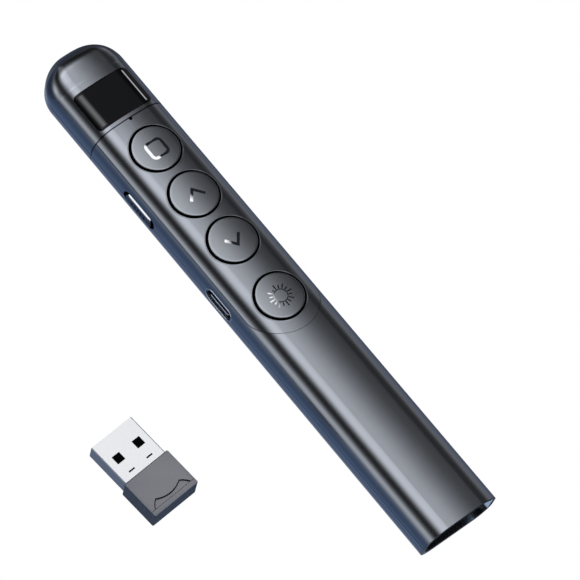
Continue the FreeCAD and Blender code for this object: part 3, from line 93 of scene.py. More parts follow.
def add(tree, kind, inputs=None, **settings):
    """New node with its settings, and its inputs by name or number."""
    node = tree.nodes.new(kind)
    for name, value in settings.items():
        setattr(node, name, value)
    for name, value in (inputs or {}).items():
        feed(tree, node.inputs[name], value)
    return node


def separate(tree, source="Object"):
    """A point's x, y and z, each on a socket of its own."""
    place = add(tree, "ShaderNodeTexCoord").outputs[source]
    return add(tree, "ShaderNodeSeparateXYZ", {"Vector": place}).outputs


def maths(tree, operation, *values):
    """Result of one Math node."""
    node = add(tree, "ShaderNodeMath", dict(enumerate(values)), operation=operation)
    return node.outputs["Value"]


def mapped(tree, value, start, end, low=0.0, high=1.0):
    """The range from start to end becomes the range from low to high."""
    node = add(tree, "ShaderNodeMapRange",
               {"Value": value, "From Min": start, "From Max": end, "To Min": low, "To Max": high})
    return node.outputs["Result"]


def ramp(tree, value, stops):
    """Colour of a value between 0 and 1, from (place, colour) pairs."""
    node = add(tree, "ShaderNodeValToRGB", {"Fac": value})
    points = node.color_ramp.elements
    while len(points) < len(stops):
        points.new(0.5)
    for point, (place, colour) in zip(points, stops):
        point.position = place
        point.color = (*colour, 1.0) if isinstance(colour, tuple) else (colour, colour, colour, 1.0)
    return node.outputs["Color"]


def mixed(tree, first, second, factor=1.0, kind="MIX"):
    """Two colours mixed. A Mix node's colours are its inputs 6 and 7, and output 2."""
    node = add(tree, "ShaderNodeMix", {"Factor": factor, 6: first, 7: second}, data_type="RGBA",
               blend_type=kind)
    return node.outputs[2]


def chosen(tree, factor, first, second):
    """The first shader where the factor is 0, and the second where it is 1."""
    return add(tree, "ShaderNodeMixShader", {"Fac": factor, 1: first, 2: second}).outputs["Shader"]


def noise(tree, size, detail=2.0):
    """Noise on object coordinates, so that it stays on the surface when a piece moves."""
    place = add(tree, "ShaderNodeTexCoord").outputs["Object"]
    node = add(tree, "ShaderNodeTexNoise",
               {"Vector": place, "Scale": 1 / MM / size, "Detail": detail})
    return node.outputs["Fac"]


print("node helpers ready")

# %% [markdown]
# ## Studio
# Polished metal shows what stands round it, so the light comes from a sky with soft boxes in it: a
# broad one over the crown, a narrow one low on the left and a dim one low on the right. The dark
# gaps between them draw the bands on the metal. Lamps could do it too, but a ramp round the casing
# places every band by one number. A second ramp changes the sky towards the nose and the tail.

# %% Sky with soft boxes
SKY = (  # turn from straight up towards +Y in degrees, brightness
    (-180, 0.02), (-118, 0.10), (-98, 0.26), (-80, 0.26), (-72, 0.14), (-64, 0.05),
    (-48, 0.034), (-36, 0.048), (-29, 0.085), (-23, 0.26), (-16, 0.62), (-7, 0.95), (4, 1.14),
    (14, 1.16), (22, 0.98), (27, 0.66), (32, 0.33), (37, 0.09), (43, 0.012), (50, 0.004),
    (57, 0.02), (63, 0.10), (69, 0.30), (75, 0.68), (82, 0.80), (87, 0.64), (93, 0.50),
    (180, 0.05),
)
ALONG = (  # share of the way from tail to nose, brightness
    (0.0, 0.75), (0.60, 1.0), (0.70, 1.0), (0.745, 1.55), (0.79, 1.25), (0.84, 0.45),
    (0.93, 0.20), (1.0, 0.30),
)
SKY_TINT, SKY_STRENGTH, HALF_TURN = (0.97, 1.0, 1.05), 2.0, 180
world = bpy.data.worlds.new("studio")
bpy.context.scene.world = world
world.use_nodes = True
tree = world.node_tree
tree.nodes.clear()
sky_x, sky_y, sky_z = separate(tree, "Generated")
angle = mapped(tree, maths(tree, "ARCTAN2", sky_y, sky_z), -math.pi, math.pi)
around = ramp(tree, angle, [((deg + HALF_TURN) / (2 * HALF_TURN), tuple(level * c for c in SKY_TINT))
                            for deg, level in SKY])
along = ramp(tree, mapped(tree, sky_x, -1.0, 1.0),
             [(at, level / SKY_STRENGTH) for at, level in ALONG])
sky_colour = mixed(tree, around, along, kind="MULTIPLY")
glow = add(tree, "ShaderNodeBackground", {"Color": sky_colour, "Strength": SKY_STRENGTH})
plain = add(tree, "ShaderNodeBackground", {"Color": (1, 1, 1, 1)})
camera_ray = add(tree, "ShaderNodeLightPath").outputs["Is Camera Ray"]
add(tree, "ShaderNodeOutputWorld",
    {"Surface": chosen(tree, camera_ray, glow.outputs[0], plain.outputs[0])})
print("sky has", len(SKY), "stops round the casing and", len(ALONG), "along it")

# %% [markdown]
# ### Floor
# The clicker lies on white paper. One large face is enough for it, a hair below the casing, so that
# the two don't lie in the same plane.

# %% Floor
FLOOR_HALF, FLOOR_DROP = 3.0, 0.00002  # metres
corners = ((-1, -1), (1, -1), (1, 1), (-1, 1))
floor_mesh = bpy.data.meshes.new("floor")
floor_mesh.from_pydata([(x * FLOOR_HALF, y * FLOOR_HALF, -FLOOR_DROP) for x, y in corners], [],
                       [(0, 1, 2, 3)])
floor = bpy.data.objects.new("floor", floor_mesh)
bpy.context.scene.collection.objects.link(floor)
print("floor laid")

# %% [markdown]
# ### The paper in the polished surfaces
# The camera sees plain white paper. The metal shows it as a row of soft blue tones along the casing,
# with a dusky patch beyond each end. The Light Path node tells the two kinds of ray apart.

# %% Floor's paper
TONES = (  # place across the casing in millimetres, colour
    (-400, (0.22, 0.24, 0.29)), (-60, (0.21, 0.23, 0.30)), (-20, (0.10, 0.12, 0.17)),
    (0, (0.20, 0.24, 0.34)), (11.2, (0.40, 0.46, 0.60)), (11.9, (0.22, 0.27, 0.40)),
    (12.5, (0.12, 0.17, 0.28)), (15.0, (0.125, 0.185, 0.31)), (17.0, (0.10, 0.15, 0.26)),
    (21, (0.080, 0.122, 0.215)), (28, (0.080, 0.115, 0.195)), (38, (0.092, 0.14, 0.215)),
    (56, (0.14, 0.18, 0.27)), (75, (0.22, 0.26, 0.34)), (120, (0.37, 0.41, 0.48)),
    (220, (0.48, 0.51, 0.57)), (400, (0.52, 0.54, 0.58)),
)
ENDS = (  # share of the way from tail to nose, brightness
    (0.0, 0.35), (0.06, 0.35), (0.125, 0.12), (0.1365, 0.16), (0.15, 1.0), (0.845, 1.0),
    (0.885, 0.42), (1.0, 0.35),
)
ACROSS_SPAN, ALONG_SPAN = 400.0, 100.0
PAPER_COLOUR = (0.75, 0.78, 0.82, 1)
paper = bpy.data.materials.new("paper")
paper.use_nodes = True
tree = paper.node_tree
tree.nodes.clear()
floor_x, floor_y, _ = separate(tree)
tone = ramp(tree, mapped(tree, floor_y, -ACROSS_SPAN * MM, ACROSS_SPAN * MM),
            [((y + ACROSS_SPAN) / (2 * ACROSS_SPAN), colour) for y, colour in TONES])
end = ramp(tree, mapped(tree, floor_x, -ALONG_SPAN * MM, ALONG_SPAN * MM), ENDS)
dusk = add(tree, "ShaderNodeEmission", {"Color": mixed(tree, tone, end, kind="MULTIPLY")})
matt = add(tree, "ShaderNodeBsdfDiffuse", {"Color": PAPER_COLOUR})
white = add(tree, "ShaderNodeEmission")
rays = add(tree, "ShaderNodeLightPath").outputs
mirrored = chosen(tree, rays["Is Glossy Ray"], matt.outputs[0], dusk.outputs[0])
add(tree, "ShaderNodeOutputMaterial",
    {"Surface": chosen(tree, rays["Is Camera Ray"], mirrored, white.outputs[0])})
floor_mesh.materials.append(paper)
print("paper has", len(TONES), "tones across and", len(ENDS), "along")

# %% [markdown]
# ## Finishes
# Every finish is a Principled shader. A fine noise gives its roughness and its tiny relief, and a
# broad one varies its colour a little, as paint, metal and plastic do. Without them a surface looks
# too clean to be real.

# %% Finish helper
BROAD_SIZE = 9.0


def new_material(name):
    """Material, its node tree and its Principled shader."""
    material = bpy.data.materials.new(name)
    material.use_nodes = True
    tree = material.node_tree
    return material, tree, tree.nodes["Principled BSDF"]


def finish_of(name, colour, rough, metallic=0.0, grain=0.15, size=0.12, bump=0.02, vary=0.06,
              coat=0.0, **sockets):
    """Principled material with fine grain. Sizes are in millimetres."""
    material, tree, shader = new_material(name)
    fine, broad = noise(tree, size, 3.0), noise(tree, BROAD_SIZE)
    dark = tuple(c * (1 - vary) for c in colour)
    light = tuple(min(1.0, c * (1 + vary)) for c in colour)
    relief = add(tree, "ShaderNodeBump", {"Strength": bump, "Distance": size * MM, "Height": fine})
    values = {"Base Color": ramp(tree, broad, ((0.3, dark), (0.7, light))),
              "Roughness": mapped(tree, fine, 0.0, 1.0, rough * (1 - grain),
                                  min(1.0, rough * (1 + grain))),
              "Normal": relief.outputs["Normal"], "Metallic": metallic, "Coat Weight": coat}
    values.update({socket.replace("_", " "): value for socket, value in sockets.items()})
    for socket, value in values.items():
        feed(tree, shader.inputs[socket], value)
    return material


print("broad variation every", BROAD_SIZE, "mm")

# %% [markdown]
# ### One finish for each slot
# The casing and the keys are satin metal, nearly the same, and the window is smoked and glossy. The
# pieces inside have the colours that such pieces usually have.

# %% Finishes
FINISH = {
    "casing_satin": finish_of("gunmetal", (0.43, 0.445, 0.475), 0.21, metallic=1.0, size=0.10,
                              bump=0.05, vary=0.02),
    "key_satin": finish_of("key_metal", (0.47, 0.485, 0.51), 0.24, metallic=1.0, size=0.10,
                           bump=0.05, vary=0.02),
    "window_black": finish_of("window", (0.0055, 0.0055, 0.007), 0.06, grain=0.05, bump=0.0,
                              IOR=1.38),
    "slide_grey": finish_of("slide", (0.12, 0.135, 0.17), 0.24, metallic=1.0, size=0.08,
                            bump=0.06),
    "port_steel": finish_of("port_metal", (0.50, 0.53, 0.60), 0.22, metallic=1.0, size=0.2),
    "insulator_black": finish_of("insulator", (0.008, 0.008, 0.010), 0.45, size=0.2),
    "switch_white": finish_of("switch_body", (0.72, 0.72, 0.69), 0.5, size=0.2),
    "panel_glass": finish_of("panel", (0.012, 0.014, 0.018), 0.1, size=0.3, coat=0.5),
    "ribbon_amber": finish_of("ribbon", (0.50, 0.22, 0.03), 0.3, size=0.3),
    "board_green": finish_of("board", (0.012, 0.13, 0.05), 0.35, size=0.5, vary=0.25),
    "screw_steel": finish_of("screw", (0.55, 0.56, 0.58), 0.3, metallic=1.0, size=0.2),
    "chip_black": finish_of("chip", (0.025, 0.025, 0.028), 0.55, size=0.15, bump=0.1),
    "crystal_can": finish_of("can", (0.65, 0.65, 0.66), 0.25, metallic=1.0, size=0.3),
    "antenna_ceramic": finish_of("ceramic", (0.80, 0.79, 0.72), 0.4, size=0.1),
    "led_lens": finish_of("lamp", (0.85, 0.88, 0.84), 0.15, size=0.2),
    "cell_foil": finish_of("foil", (0.66, 0.67, 0.70), 0.34, metallic=1.0, size=0.8, bump=0.15),
    "foam_black": finish_of("foam", (0.02, 0.02, 0.02), 0.9, size=0.3, bump=0.4),
    "lead_red": finish_of("red_lead", (0.45, 0.02, 0.015), 0.35, size=0.2),
    "lead_black": finish_of("black_lead", (0.02, 0.02, 0.02), 0.35, size=0.2),
    "barrel_brass": finish_of("brass", (0.72, 0.52, 0.22), 0.25, metallic=1.0, size=0.15),
    "lens_clear": finish_of("lens", (0.25, 0.04, 0.04), 0.04, size=0.5, bump=0.0, coat=1.0),
    "diode_gold": finish_of("gold", (0.85, 0.65, 0.28), 0.2, metallic=1.0, size=0.2),
    "plug_metal": finish_of("nickel", (0.66, 0.665, 0.69), 0.38, metallic=1.0, size=0.12,
                            bump=0.03, vary=0.01),
    "contact_gold": finish_of("contact", (0.88, 0.66, 0.25), 0.2, metallic=1.0, size=0.2),
    "receiver_navy": finish_of("receiver_plastic", (0.080, 0.100, 0.142), 0.42, size=0.10,
                               bump=0.12, vary=0.03),
}
# these two have no slot of their own in the record
# black finish for painted shade under the key caps, in the recess and inside the plug, and for the
# receiver's two fine lines
FINISH["gap_black"] = finish_of("gap_shadow", (0.002, 0.002, 0.003), 0.8, size=0.2,
                                Specular_IOR_Level=0.05)
FINISH["bright_edge"] = finish_of("bright_edge", (0.92, 0.93, 0.96), 0.22, metallic=1.0, size=0.1)
for entry in frame["record"]["subparts"]:
    mesh = NODES[entry["node"]].data
    mesh.materials.clear()
    mesh.materials.append(FINISH[entry["material_slot"]])
print(len(FINISH), "finishes on", len(NODES), "nodes")

# %% [markdown]
# ### Joint lines
# The seam round the head and the parting line on the sides are gaps in the solids, but they are too
# fine for this picture, so the casing's finish is dark inside them. Their places are the solid's
# own. Below the parting line a painted highlight runs along the back cover's edge.

# %% Joint lines
TAIL_X, NOSE_X = -72.5, 72.5
PART_TAIL, PART_NOSE = 6.75, 5.15
PART_MIDDLE = (PART_TAIL + PART_NOSE) / 2 + 0.05
SEAM = (48.95, 0.10, 0.10)  # each band has its middle, half its width and its softness
PARTING = (PART_MIDDLE, 0.11, 0.10)
# painted highlight: a bright band just below the parting line, along the back cover's edge
EDGE_HIGHLIGHT = (PART_MIDDLE - 0.34, 0.07, 0.12)
JOINT_DARK, EDGE_BRIGHT = (0.025, 0.035, 0.065, 1), (0.85, 0.88, 0.93, 1)


def stripe(tree, value, middle, half, soft):
    """One inside a band of a value and zero outside it. Sizes are in millimetres."""
    apart = maths(tree, "ABSOLUTE", maths(tree, "SUBTRACT", value, middle * MM))
    return mapped(tree, apart, (half + soft) * MM, half * MM)


def joint_lines_and_edge_highlight(material):
    """Dark seam round the head, dark parting line and a painted highlight under it."""
    tree = material.node_tree
    base = tree.nodes["Principled BSDF"].inputs["Base Color"]
    x, _, z = separate(tree)
    rise = (PART_NOSE - PART_TAIL) / (NOSE_X - TAIL_X)
    level = maths(tree, "MULTIPLY_ADD", x, -rise, z)
    dark = maths(tree, "MAXIMUM", stripe(tree, x, *SEAM), stripe(tree, level, *PARTING))
    colour = mixed(tree, base.links[0].from_socket, JOINT_DARK, dark)
    tree.links.new(mixed(tree, colour, EDGE_BRIGHT, stripe(tree, level, *EDGE_HIGHLIGHT)), base)


joint_lines_and_edge_highlight(FINISH["casing_satin"])
print("seam at", SEAM[0], "and parting line from", PART_TAIL, "to", PART_NOSE)

# %% [markdown]
# ### Lit edges
# A painted reflection of the white paper glows on the open tail's inner wall, and painted
# highlights run along both sides of the window. Both are small and keep their place on the object,
# so they are painted into the finish as a glow.

# %% Lit edges
RIM_X, RIM_Y, RIM_Z = (-71.0, 1.35, 0.1), (-7.7, 1.5, 0.15), (6.6, 2.6, 0.6)
GLASS_X, GLASS_NEAR, GLASS_FAR = (55.35, 4.5, 0.35), (5.85, 0.12, 0.75), (-6.30, 0.09, 0.14)
NEAR_LEVEL, FAR_LEVEL = 0.11, 0.42
# colours of the painted reflection in the tail and of the painted highlights on the window
RIM_LIGHT, GLASS_LIGHT = (0.24, 0.32, 0.46, 1), (0.93, 0.96, 1.0, 1)


def lit(material, colour, level):
    """Let a finish glow with painted light where the level is above zero."""
    shader = material.node_tree.nodes["Principled BSDF"]
    feed(material.node_tree, shader.inputs["Emission Color"], colour)
    feed(material.node_tree, shader.inputs["Emission Strength"], level)


def paint_tail_reflection(material):
    """Painted reflection of pale light on the inner wall of the open tail."""
    tree = material.node_tree
    x, y, z = separate(tree)
    wall = maths(tree, "MULTIPLY", stripe(tree, x, *RIM_X), stripe(tree, y, *RIM_Y))
    lit(material, RIM_LIGHT, maths(tree, "MULTIPLY", wall, stripe(tree, z, *RIM_Z)))


def paint_window_highlights(material):
    """Painted soft highlight along the pane's near side and a thin painted highlight along its far
    side.
    """
    tree = material.node_tree
    x, y, _ = separate(tree)
    near = maths(tree, "MULTIPLY", stripe(tree, y, *GLASS_NEAR), NEAR_LEVEL)
    both = maths(tree, "MULTIPLY_ADD", stripe(tree, y, *GLASS_FAR), FAR_LEVEL, near)
    lit(material, GLASS_LIGHT, maths(tree, "MULTIPLY", both, stripe(tree, x, *GLASS_X)))


paint_tail_reflection(FINISH["casing_satin"])
paint_window_highlights(FINISH["window_black"])
print("tail's wall lit for", 2 * RIM_X[1], "mm and the window for", 2 * GLASS_X[1], "mm")

# %% [markdown]
# ## The casing's own surface, as a formula
# The casing's cross-section is a broad crown with a round shoulder on each side. Pieces that lie on
# it read their height from the same formula, which is quicker and smoother than rays on the solid.

# %% Skin height
CROWN, SHOULDER, HALF, TALL = 45.0, 6.1, 10.4, 13.0
SHOULDER_Y = HALF - SHOULDER
SHOULDER_Z = TALL - CROWN + math.sqrt((CROWN - SHOULDER) ** 2 - SHOULDER_Y ** 2)
TURN_Y = CROWN * SHOULDER_Y / (CROWN - SHOULDER)
KEYS = {"stop": 39.2, "up": 24.95, "down": 10.7, "light": -6.45}
LEAST = 1e-6


def skin(y):
    """Height of the casing at a place across it, in millimetres."""
    y = np.asarray(y, float)
    a = np.abs(y)
    top = TALL - CROWN + np.sqrt(CROWN ** 2 - a ** 2)
    side = SHOULDER_Z + np.sqrt(np.maximum(SHOULDER ** 2 - (a - SHOULDER_Y) ** 2, LEAST))
    return np.where(a <= TURN_Y, top, side)


print("skin at the middle", float(skin(0)), "and at the key cover's edge", round(float(skin(9.3)), 2))

# %% [markdown]
# ### Helpers for meshes
# Most pieces are rows of points with faces between the rows: rings round a key, a profile drawn
# along the casing, or the levels of a block. All sizes are in millimetres.

# %% Mesh helpers
SHARP_FROM = math.radians(38)


def quads(rows, count, ring=True, loop=False, first=0):
    """Faces between rows of points. A ring closes each row, and a loop joins the last row to the
    first."""
    faces = []
    for row in range(rows if loop else rows - 1):
        here, there = first + row * count, first + (row + 1) % rows * count
        for k in range(count if ring else count - 1):
            m = (k + 1) % count
            faces.append((here + k, there + k, there + m, here + m))
    return faces


def circle_at(middle, radius, steps):
    """Points round a circle, counter-clockwise."""
    turns = [2 * math.pi * k / steps for k in range(steps)]
    return [(middle[0] + radius * math.cos(a), middle[1] + radius * math.sin(a)) for a in turns]


def rounded_rectangle(middle, half, corner, steps=7):
    """Outline of a rectangle with round corners, counter-clockwise."""
    line = []
    for number, (cu, cv) in enumerate(((1, 1), (-1, 1), (-1, -1), (1, -1))):
        for step in range(steps):
            a = math.pi / 2 * (number + step / (steps - 1))
            line.append((middle[0] + (half[0] - corner) * cu + corner * math.cos(a),
                         middle[1] + (half[1] - corner) * cv + corner * math.sin(a)))
    return line


def solid_from(name, points, faces):
    """Mesh object from points in millimetres, with its faces turned outwards."""
    mesh = bpy.data.meshes.new(name)
    mesh.from_pydata([tuple(float(c) * MM for c in p) for p in points], [], faces)
    mesh.validate()
    obj = bpy.data.objects.new(name, mesh)
    bpy.context.scene.collection.objects.link(obj)
    work = bmesh.new()
    work.from_mesh(mesh)
    bmesh.ops.recalc_face_normals(work, faces=work.faces)
    work.to_mesh(mesh)
    work.free()
    return obj


def piece_from(name, points, faces, slot, body):
    """The same, smooth between its edges, with its finish and its body."""
    obj = solid_from(name, points, faces)
    mesh = obj.data
    mesh.shade_smooth()
    mesh.set_sharp_from_angle(angle=SHARP_FROM)
    mesh.materials.append(FINISH[slot])
    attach(obj, body)
    return obj


print("mesh helpers ready")

# %% [markdown]
# ## Keys
# Each cap is a flush disc with a soft rim. Its face is flatter than the crown round it, so it
# catches the light a little differently, as on the real keys. Under the cover it widens to the
# flange that holds it in, and its stem stands on the switch. Rings of points, outwards and then
# down, give the whole cap as one closed piece. What lies below the rim is painted black as shade,
# as a deep gap looks.

# %% Key caps
CAP_RADIUS, CAP_EDGE, CAP_STEPS, FLATTEN = 5.73, 0.22, 96, 0.30
CAP_SHIFT = (0.08, -0.19)
FLAT_DROP, FLAT_BEND, UNDER_CROWN = 0.10, 0.0042, 0.03
FIRST_RING, FACE_RINGS, EDGE_RINGS = 0.6, 14, 6
UNDERSIDE = (  # radius and height of the flange, the hollow and the stem
    (6.70, 10.85), (6.70, 10.36), (5.0, 10.36), (5.0, 11.3), (1.5, 11.3), (1.5, 9.985),
)


def cap_height(y):
    """Height of a cap's face: a share of the crown's curve is taken off it."""
    crown = skin(y)
    flat = float(skin(0)) - FLAT_DROP - FLAT_BEND * np.asarray(y, float) ** 2
    return np.minimum(crown - UNDER_CROWN, crown * (1 - FLATTEN) + flat * FLATTEN)


def make_cap(word, x):
    """Disc with a soft rim, a flange and a stem, in place of the solid key."""
    face_radius = CAP_RADIUS - CAP_EDGE
    rings = [(r, 0.0) for r in np.linspace(FIRST_RING, face_radius, FACE_RINGS)]
    for t in (step / EDGE_RINGS * math.pi / 2 for step in range(1, EDGE_RINGS + 1)):
        rings.append((face_radius + CAP_EDGE * math.sin(t), CAP_EDGE * (1 - math.cos(t))))
    middle = (x + CAP_SHIFT[0], CAP_SHIFT[1])
    points = [(*middle, float(cap_height(middle[1])))]
    for radius, drop in rings:
        points += [(u, v, float(cap_height(v)) - drop)
                   for u, v in circle_at(middle, radius, CAP_STEPS)]
    points += [(u, v, UNDERSIDE[0][1]) for u, v in circle_at(middle, CAP_RADIUS, CAP_STEPS)]
    for radius, z in UNDERSIDE:
        points += [(u, v, z) for u, v in circle_at((x, 0.0), radius, CAP_STEPS)]
    faces = [(0, 1 + k, 1 + (k + 1) % CAP_STEPS) for k in range(CAP_STEPS)]
    faces += quads(len(rings) + 1 + len(UNDERSIDE), CAP_STEPS, first=1)
    faces.append(tuple(range(len(points) - CAP_STEPS, len(points))))
    cap = piece_from(word + "_cap", points, faces, "key_satin", word + "_key_body")
    # painted shade: the cap's wall and flange below the rim are black
    cap.data.materials.append(FINISH["gap_black"])
    for face in cap.data.polygons[len(rings) * CAP_STEPS:]:
        face.material_index = 1
    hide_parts(word + "_key")


for word, x in KEYS.items():
    make_cap(word, x)
print("caps made:", len(KEYS), "of", round(2 * CAP_RADIUS, 2), "mm")

# %% [markdown]
# ### The raised lip round each key hole
# The key cover rises a little at each hole, and the thin lip catches a bright line. A small profile
# is carried round the hole, and each of its points keeps its rise over the crowned skin.

# %% Lips
LIP_INNER, LIP_OUTER, LIP_HIGH, LIP_ROUND, LIP_STEPS = 6.25, 6.50, 0.045, 0.05, 120
LIP_PROFILE = (  # radius, rise over the skin
    (LIP_INNER, -0.30), (LIP_INNER, LIP_HIGH * 0.55), (LIP_INNER + LIP_ROUND, LIP_HIGH * 0.9),
    ((LIP_INNER + LIP_OUTER) / 2, LIP_HIGH), (LIP_OUTER - LIP_ROUND, LIP_HIGH * 0.6),
    (LIP_OUTER, -0.02),
)


def make_lip(word, x):
    """Thin ring round a key hole, never higher than the casing's top."""
    points = []
    for radius, rise in LIP_PROFILE:
        points += [(u, v, min(float(skin(v)) + rise, TALL))
                   for u, v in circle_at((x, 0.0), radius, LIP_STEPS)]
    faces = quads(len(LIP_PROFILE), LIP_STEPS, loop=True)
    piece_from(word + "_hole_lip", points, faces, "casing_satin", "casing")


for word, x in KEYS.items():
    make_lip(word, x)
print("lips made:", len(KEYS))

# %% [markdown]
# ### The signs' painted shading
# On the real keys the signs are shallow engravings, whose walls are dark on one side and white on
# the other in this light. Here each sign's colour runs from a painted shade to a painted highlight
# across it, and its white end glows a little.

# %% Painted shading of the signs
# colours of the painted shade and the painted highlight on the signs
SIGN_SHADE, SIGN_HIGHLIGHT = (0.010, 0.011, 0.014), (0.86, 0.87, 0.89)
SIGN_GRAIN, SIGN_ROUGH, SIGN_GLOSS = 0.2, (0.45, 0.60), 0.08
SIGN_SHADING_RUNS = {  # direction of the change, its place, its softness, shine
    "stop": ((-0.25, 1.0), 1.05, 0.22, 0.75), "up": ((-0.2, 1.0), 1.05, 0.55, 0.75),
    "down": ((0.2, 1.0), 1.05, 0.55, 0.75), "light": ((0.15, 1.0), 1.35, 0.55, 0.60),
}


def painted_sign_shading(name, middle, slope, change, soft, shine):
    """Painted shade to painted highlight along a direction in the cap's own plane. Sizes are in
    millimetres.
    """
    material, tree, shader = new_material(name)
    place = add(tree, "ShaderNodeTexCoord").outputs["Object"]
    way = add(tree, "ShaderNodeVectorMath", {0: place, 1: (*slope, 0.0)}, operation="DOT_PRODUCT")
    start = slope[0] * middle + change - soft
    share = mapped(tree, way.outputs["Value"], start * MM, (start + 2 * soft) * MM)
    shade = ramp(tree, share, ((0.0, SIGN_SHADE), (1.0, SIGN_HIGHLIGHT)))
    # the painted highlight also glows, by the shine
    values = {"Base Color": shade, "Emission Color": shade, "Emission Strength": shine,
              "Roughness": mapped(tree, noise(tree, SIGN_GRAIN), 0.0, 1.0, *SIGN_ROUGH),
              "Specular IOR Level": SIGN_GLOSS}
    for socket, value in values.items():
        feed(tree, shader.inputs[socket], value)
    return material


SIGN_SHADINGS = {word: painted_sign_shading(word + "_ink", KEYS[word], *run) for word, run in SIGN_SHADING_RUNS.items()}
print("inks made:", len(SIGN_SHADINGS))

# %% [markdown]
# ### Icons
# Each sign is a thin inlay on the cap: a square, two chevrons and a small sun. A band of constant
# width along a line makes them all. Its middle lies a little higher than its sides, so that it
# covers the cap without a hard wall.

# %% Inlays
SIGN_SHIFT = (-0.15, -0.21)
BAND_ROWS = ((-0.5, 0.006), (-0.35, 0.016), (0.35, 0.016), (0.5, 0.006))  # share of width, lift
SHARPEST = 0.4


def sides_of(line, closed):
    """The way across a line at each point, and how much narrower the line's turn makes it."""
    ahead = np.roll(line, -1, axis=0) - line
    behind = line - np.roll(line, 1, axis=0)
    if not closed:
        ahead[-1], behind[0] = behind[-1], ahead[0]
    ahead /= np.linalg.norm(ahead, axis=1)[:, None]
    behind /= np.linalg.norm(behind, axis=1)[:, None]
    across = np.stack((-(ahead + behind)[:, 1], (ahead + behind)[:, 0]), axis=1)
    across /= np.linalg.norm(across, axis=1)[:, None]
    upright = np.stack((-ahead[:, 1], ahead[:, 0]), axis=1)
    return across, np.maximum((across * upright).sum(1), SHARPEST)


def ribbon(name, word, line, width, closed):
    """Flat band of constant width along a line on a key's cap."""
    line = np.array(line, float)
    across, lean = sides_of(line, closed)
    points = []
    for share, lift in BAND_ROWS:
        for u, v in line + across * (share * width / lean)[:, None]:
            points.append((KEYS[word] + u, v, float(cap_height(v)) + lift))
    faces = quads(len(BAND_ROWS), len(line), ring=closed)
    sign = piece_from(name, points, faces, "key_satin", word + "_key_body")
    sign.data.materials.clear()
    sign.data.materials.append(SIGN_SHADINGS[word])


def spread(corners, steps=8):
    """Line through corners, with points between them."""
    line = [corners[0]]
    for one, two in zip(corners, corners[1:]):
        for t in (step / steps for step in range(1, steps + 1)):
            line.append((one[0] + (two[0] - one[0]) * t, one[1] + (two[1] - one[1]) * t))
    return line


SIGNS = (  # name, key, line, width, closed or open
    ("stop_sign", "stop", rounded_rectangle(SIGN_SHIFT, (2.1, 2.1), 0.95), 0.72, True),
    ("up_sign", "up", spread([(-1.25, -2.3), (1.2, -0.3), (-1.25, 1.7)]), 0.70, False),
    ("down_sign", "down", spread([(0.85, -2.3), (-1.6, -0.3), (0.85, 1.7)]), 0.70, False),
    ("light_ring", "light", circle_at(SIGN_SHIFT, 1.62, 40), 0.24, True),
)
for sign in SIGNS:
    ribbon(*sign)
print("signs on", list(KEYS))

# %% [markdown]
# ### The sun's rays
# The light key's sign is a ring with rays, and every second ray is shorter. Rays repeat by a rule,
# so one group of nodes makes them, with their number, radius, length and width as its inputs. It
# makes one flat ray, moves it out to the ring and sets a copy at each step of the turn.

# %% Rays by geometry nodes
def ray_group():
    """Nodes that make flat rays round a ring."""
    tree = bpy.data.node_groups.new("sun_rays", "GeometryNodeTree")
    face = tree.interface
    face.new_socket("Geometry", in_out="OUTPUT", socket_type="NodeSocketGeometry")
    face.new_socket("Count", in_out="INPUT", socket_type="NodeSocketInt")
    for name in ("Inner Radius", "Ray Length", "Ray Width", "Start Turn"):
        face.new_socket(name, in_out="INPUT", socket_type="NodeSocketFloat")
    face.new_socket("Material", in_out="INPUT", socket_type="NodeSocketMaterial")
    given = add(tree, "NodeGroupInput").outputs
    ray = add(tree, "GeometryNodeMeshGrid",
              {"Size X": given["Ray Length"], "Size Y": given["Ray Width"], "Vertices X": 4,
               "Vertices Y": 2})
    middle = maths(tree, "MULTIPLY_ADD", given["Ray Length"], 0.5, given["Inner Radius"])
    reach = add(tree, "ShaderNodeCombineXYZ", {"X": middle})
    moved = add(tree, "GeometryNodeTransform",
                {"Geometry": ray.outputs["Mesh"], "Translation": reach.outputs["Vector"]})
    points = add(tree, "GeometryNodePoints", {"Count": given["Count"]})
    number = add(tree, "GeometryNodeInputIndex").outputs["Index"]
    step = maths(tree, "DIVIDE", 2 * math.pi, given["Count"])
    turn_at = maths(tree, "MULTIPLY_ADD", number, step, given["Start Turn"])
    spin = add(tree, "ShaderNodeCombineXYZ", {"Z": turn_at})
    placed = add(tree, "GeometryNodeInstanceOnPoints",
                 {"Points": points.outputs["Points"], "Instance": moved.outputs["Geometry"],
                  "Rotation": spin.outputs["Vector"]})
    real = add(tree, "GeometryNodeRealizeInstances", {"Geometry": placed.outputs["Instances"]})
    painted = add(tree, "GeometryNodeSetMaterial",
                  {"Geometry": real.outputs["Geometry"], "Material": given["Material"]})
    add(tree, "NodeGroupOutput", {"Geometry": painted.outputs["Geometry"]})
    return tree


sun_rays = ray_group()
print("group of", len(sun_rays.nodes), "nodes")

# %% [markdown]
# ### Two sets of rays
# The group runs twice, once for the long rays and once for the short ones between them. Its result
# is turned into a plain mesh first, and only then laid on the crowned cap.

# %% Rays on the light key
RAY_RADIUS, RAY_WIDTH, RAY_LIFT, RAYS_EACH = 1.84, 0.31, 0.014, 8
RAYS = (("light_rays_long", 1.20, 0.0), ("light_rays_short", 0.85, math.pi / RAYS_EACH))


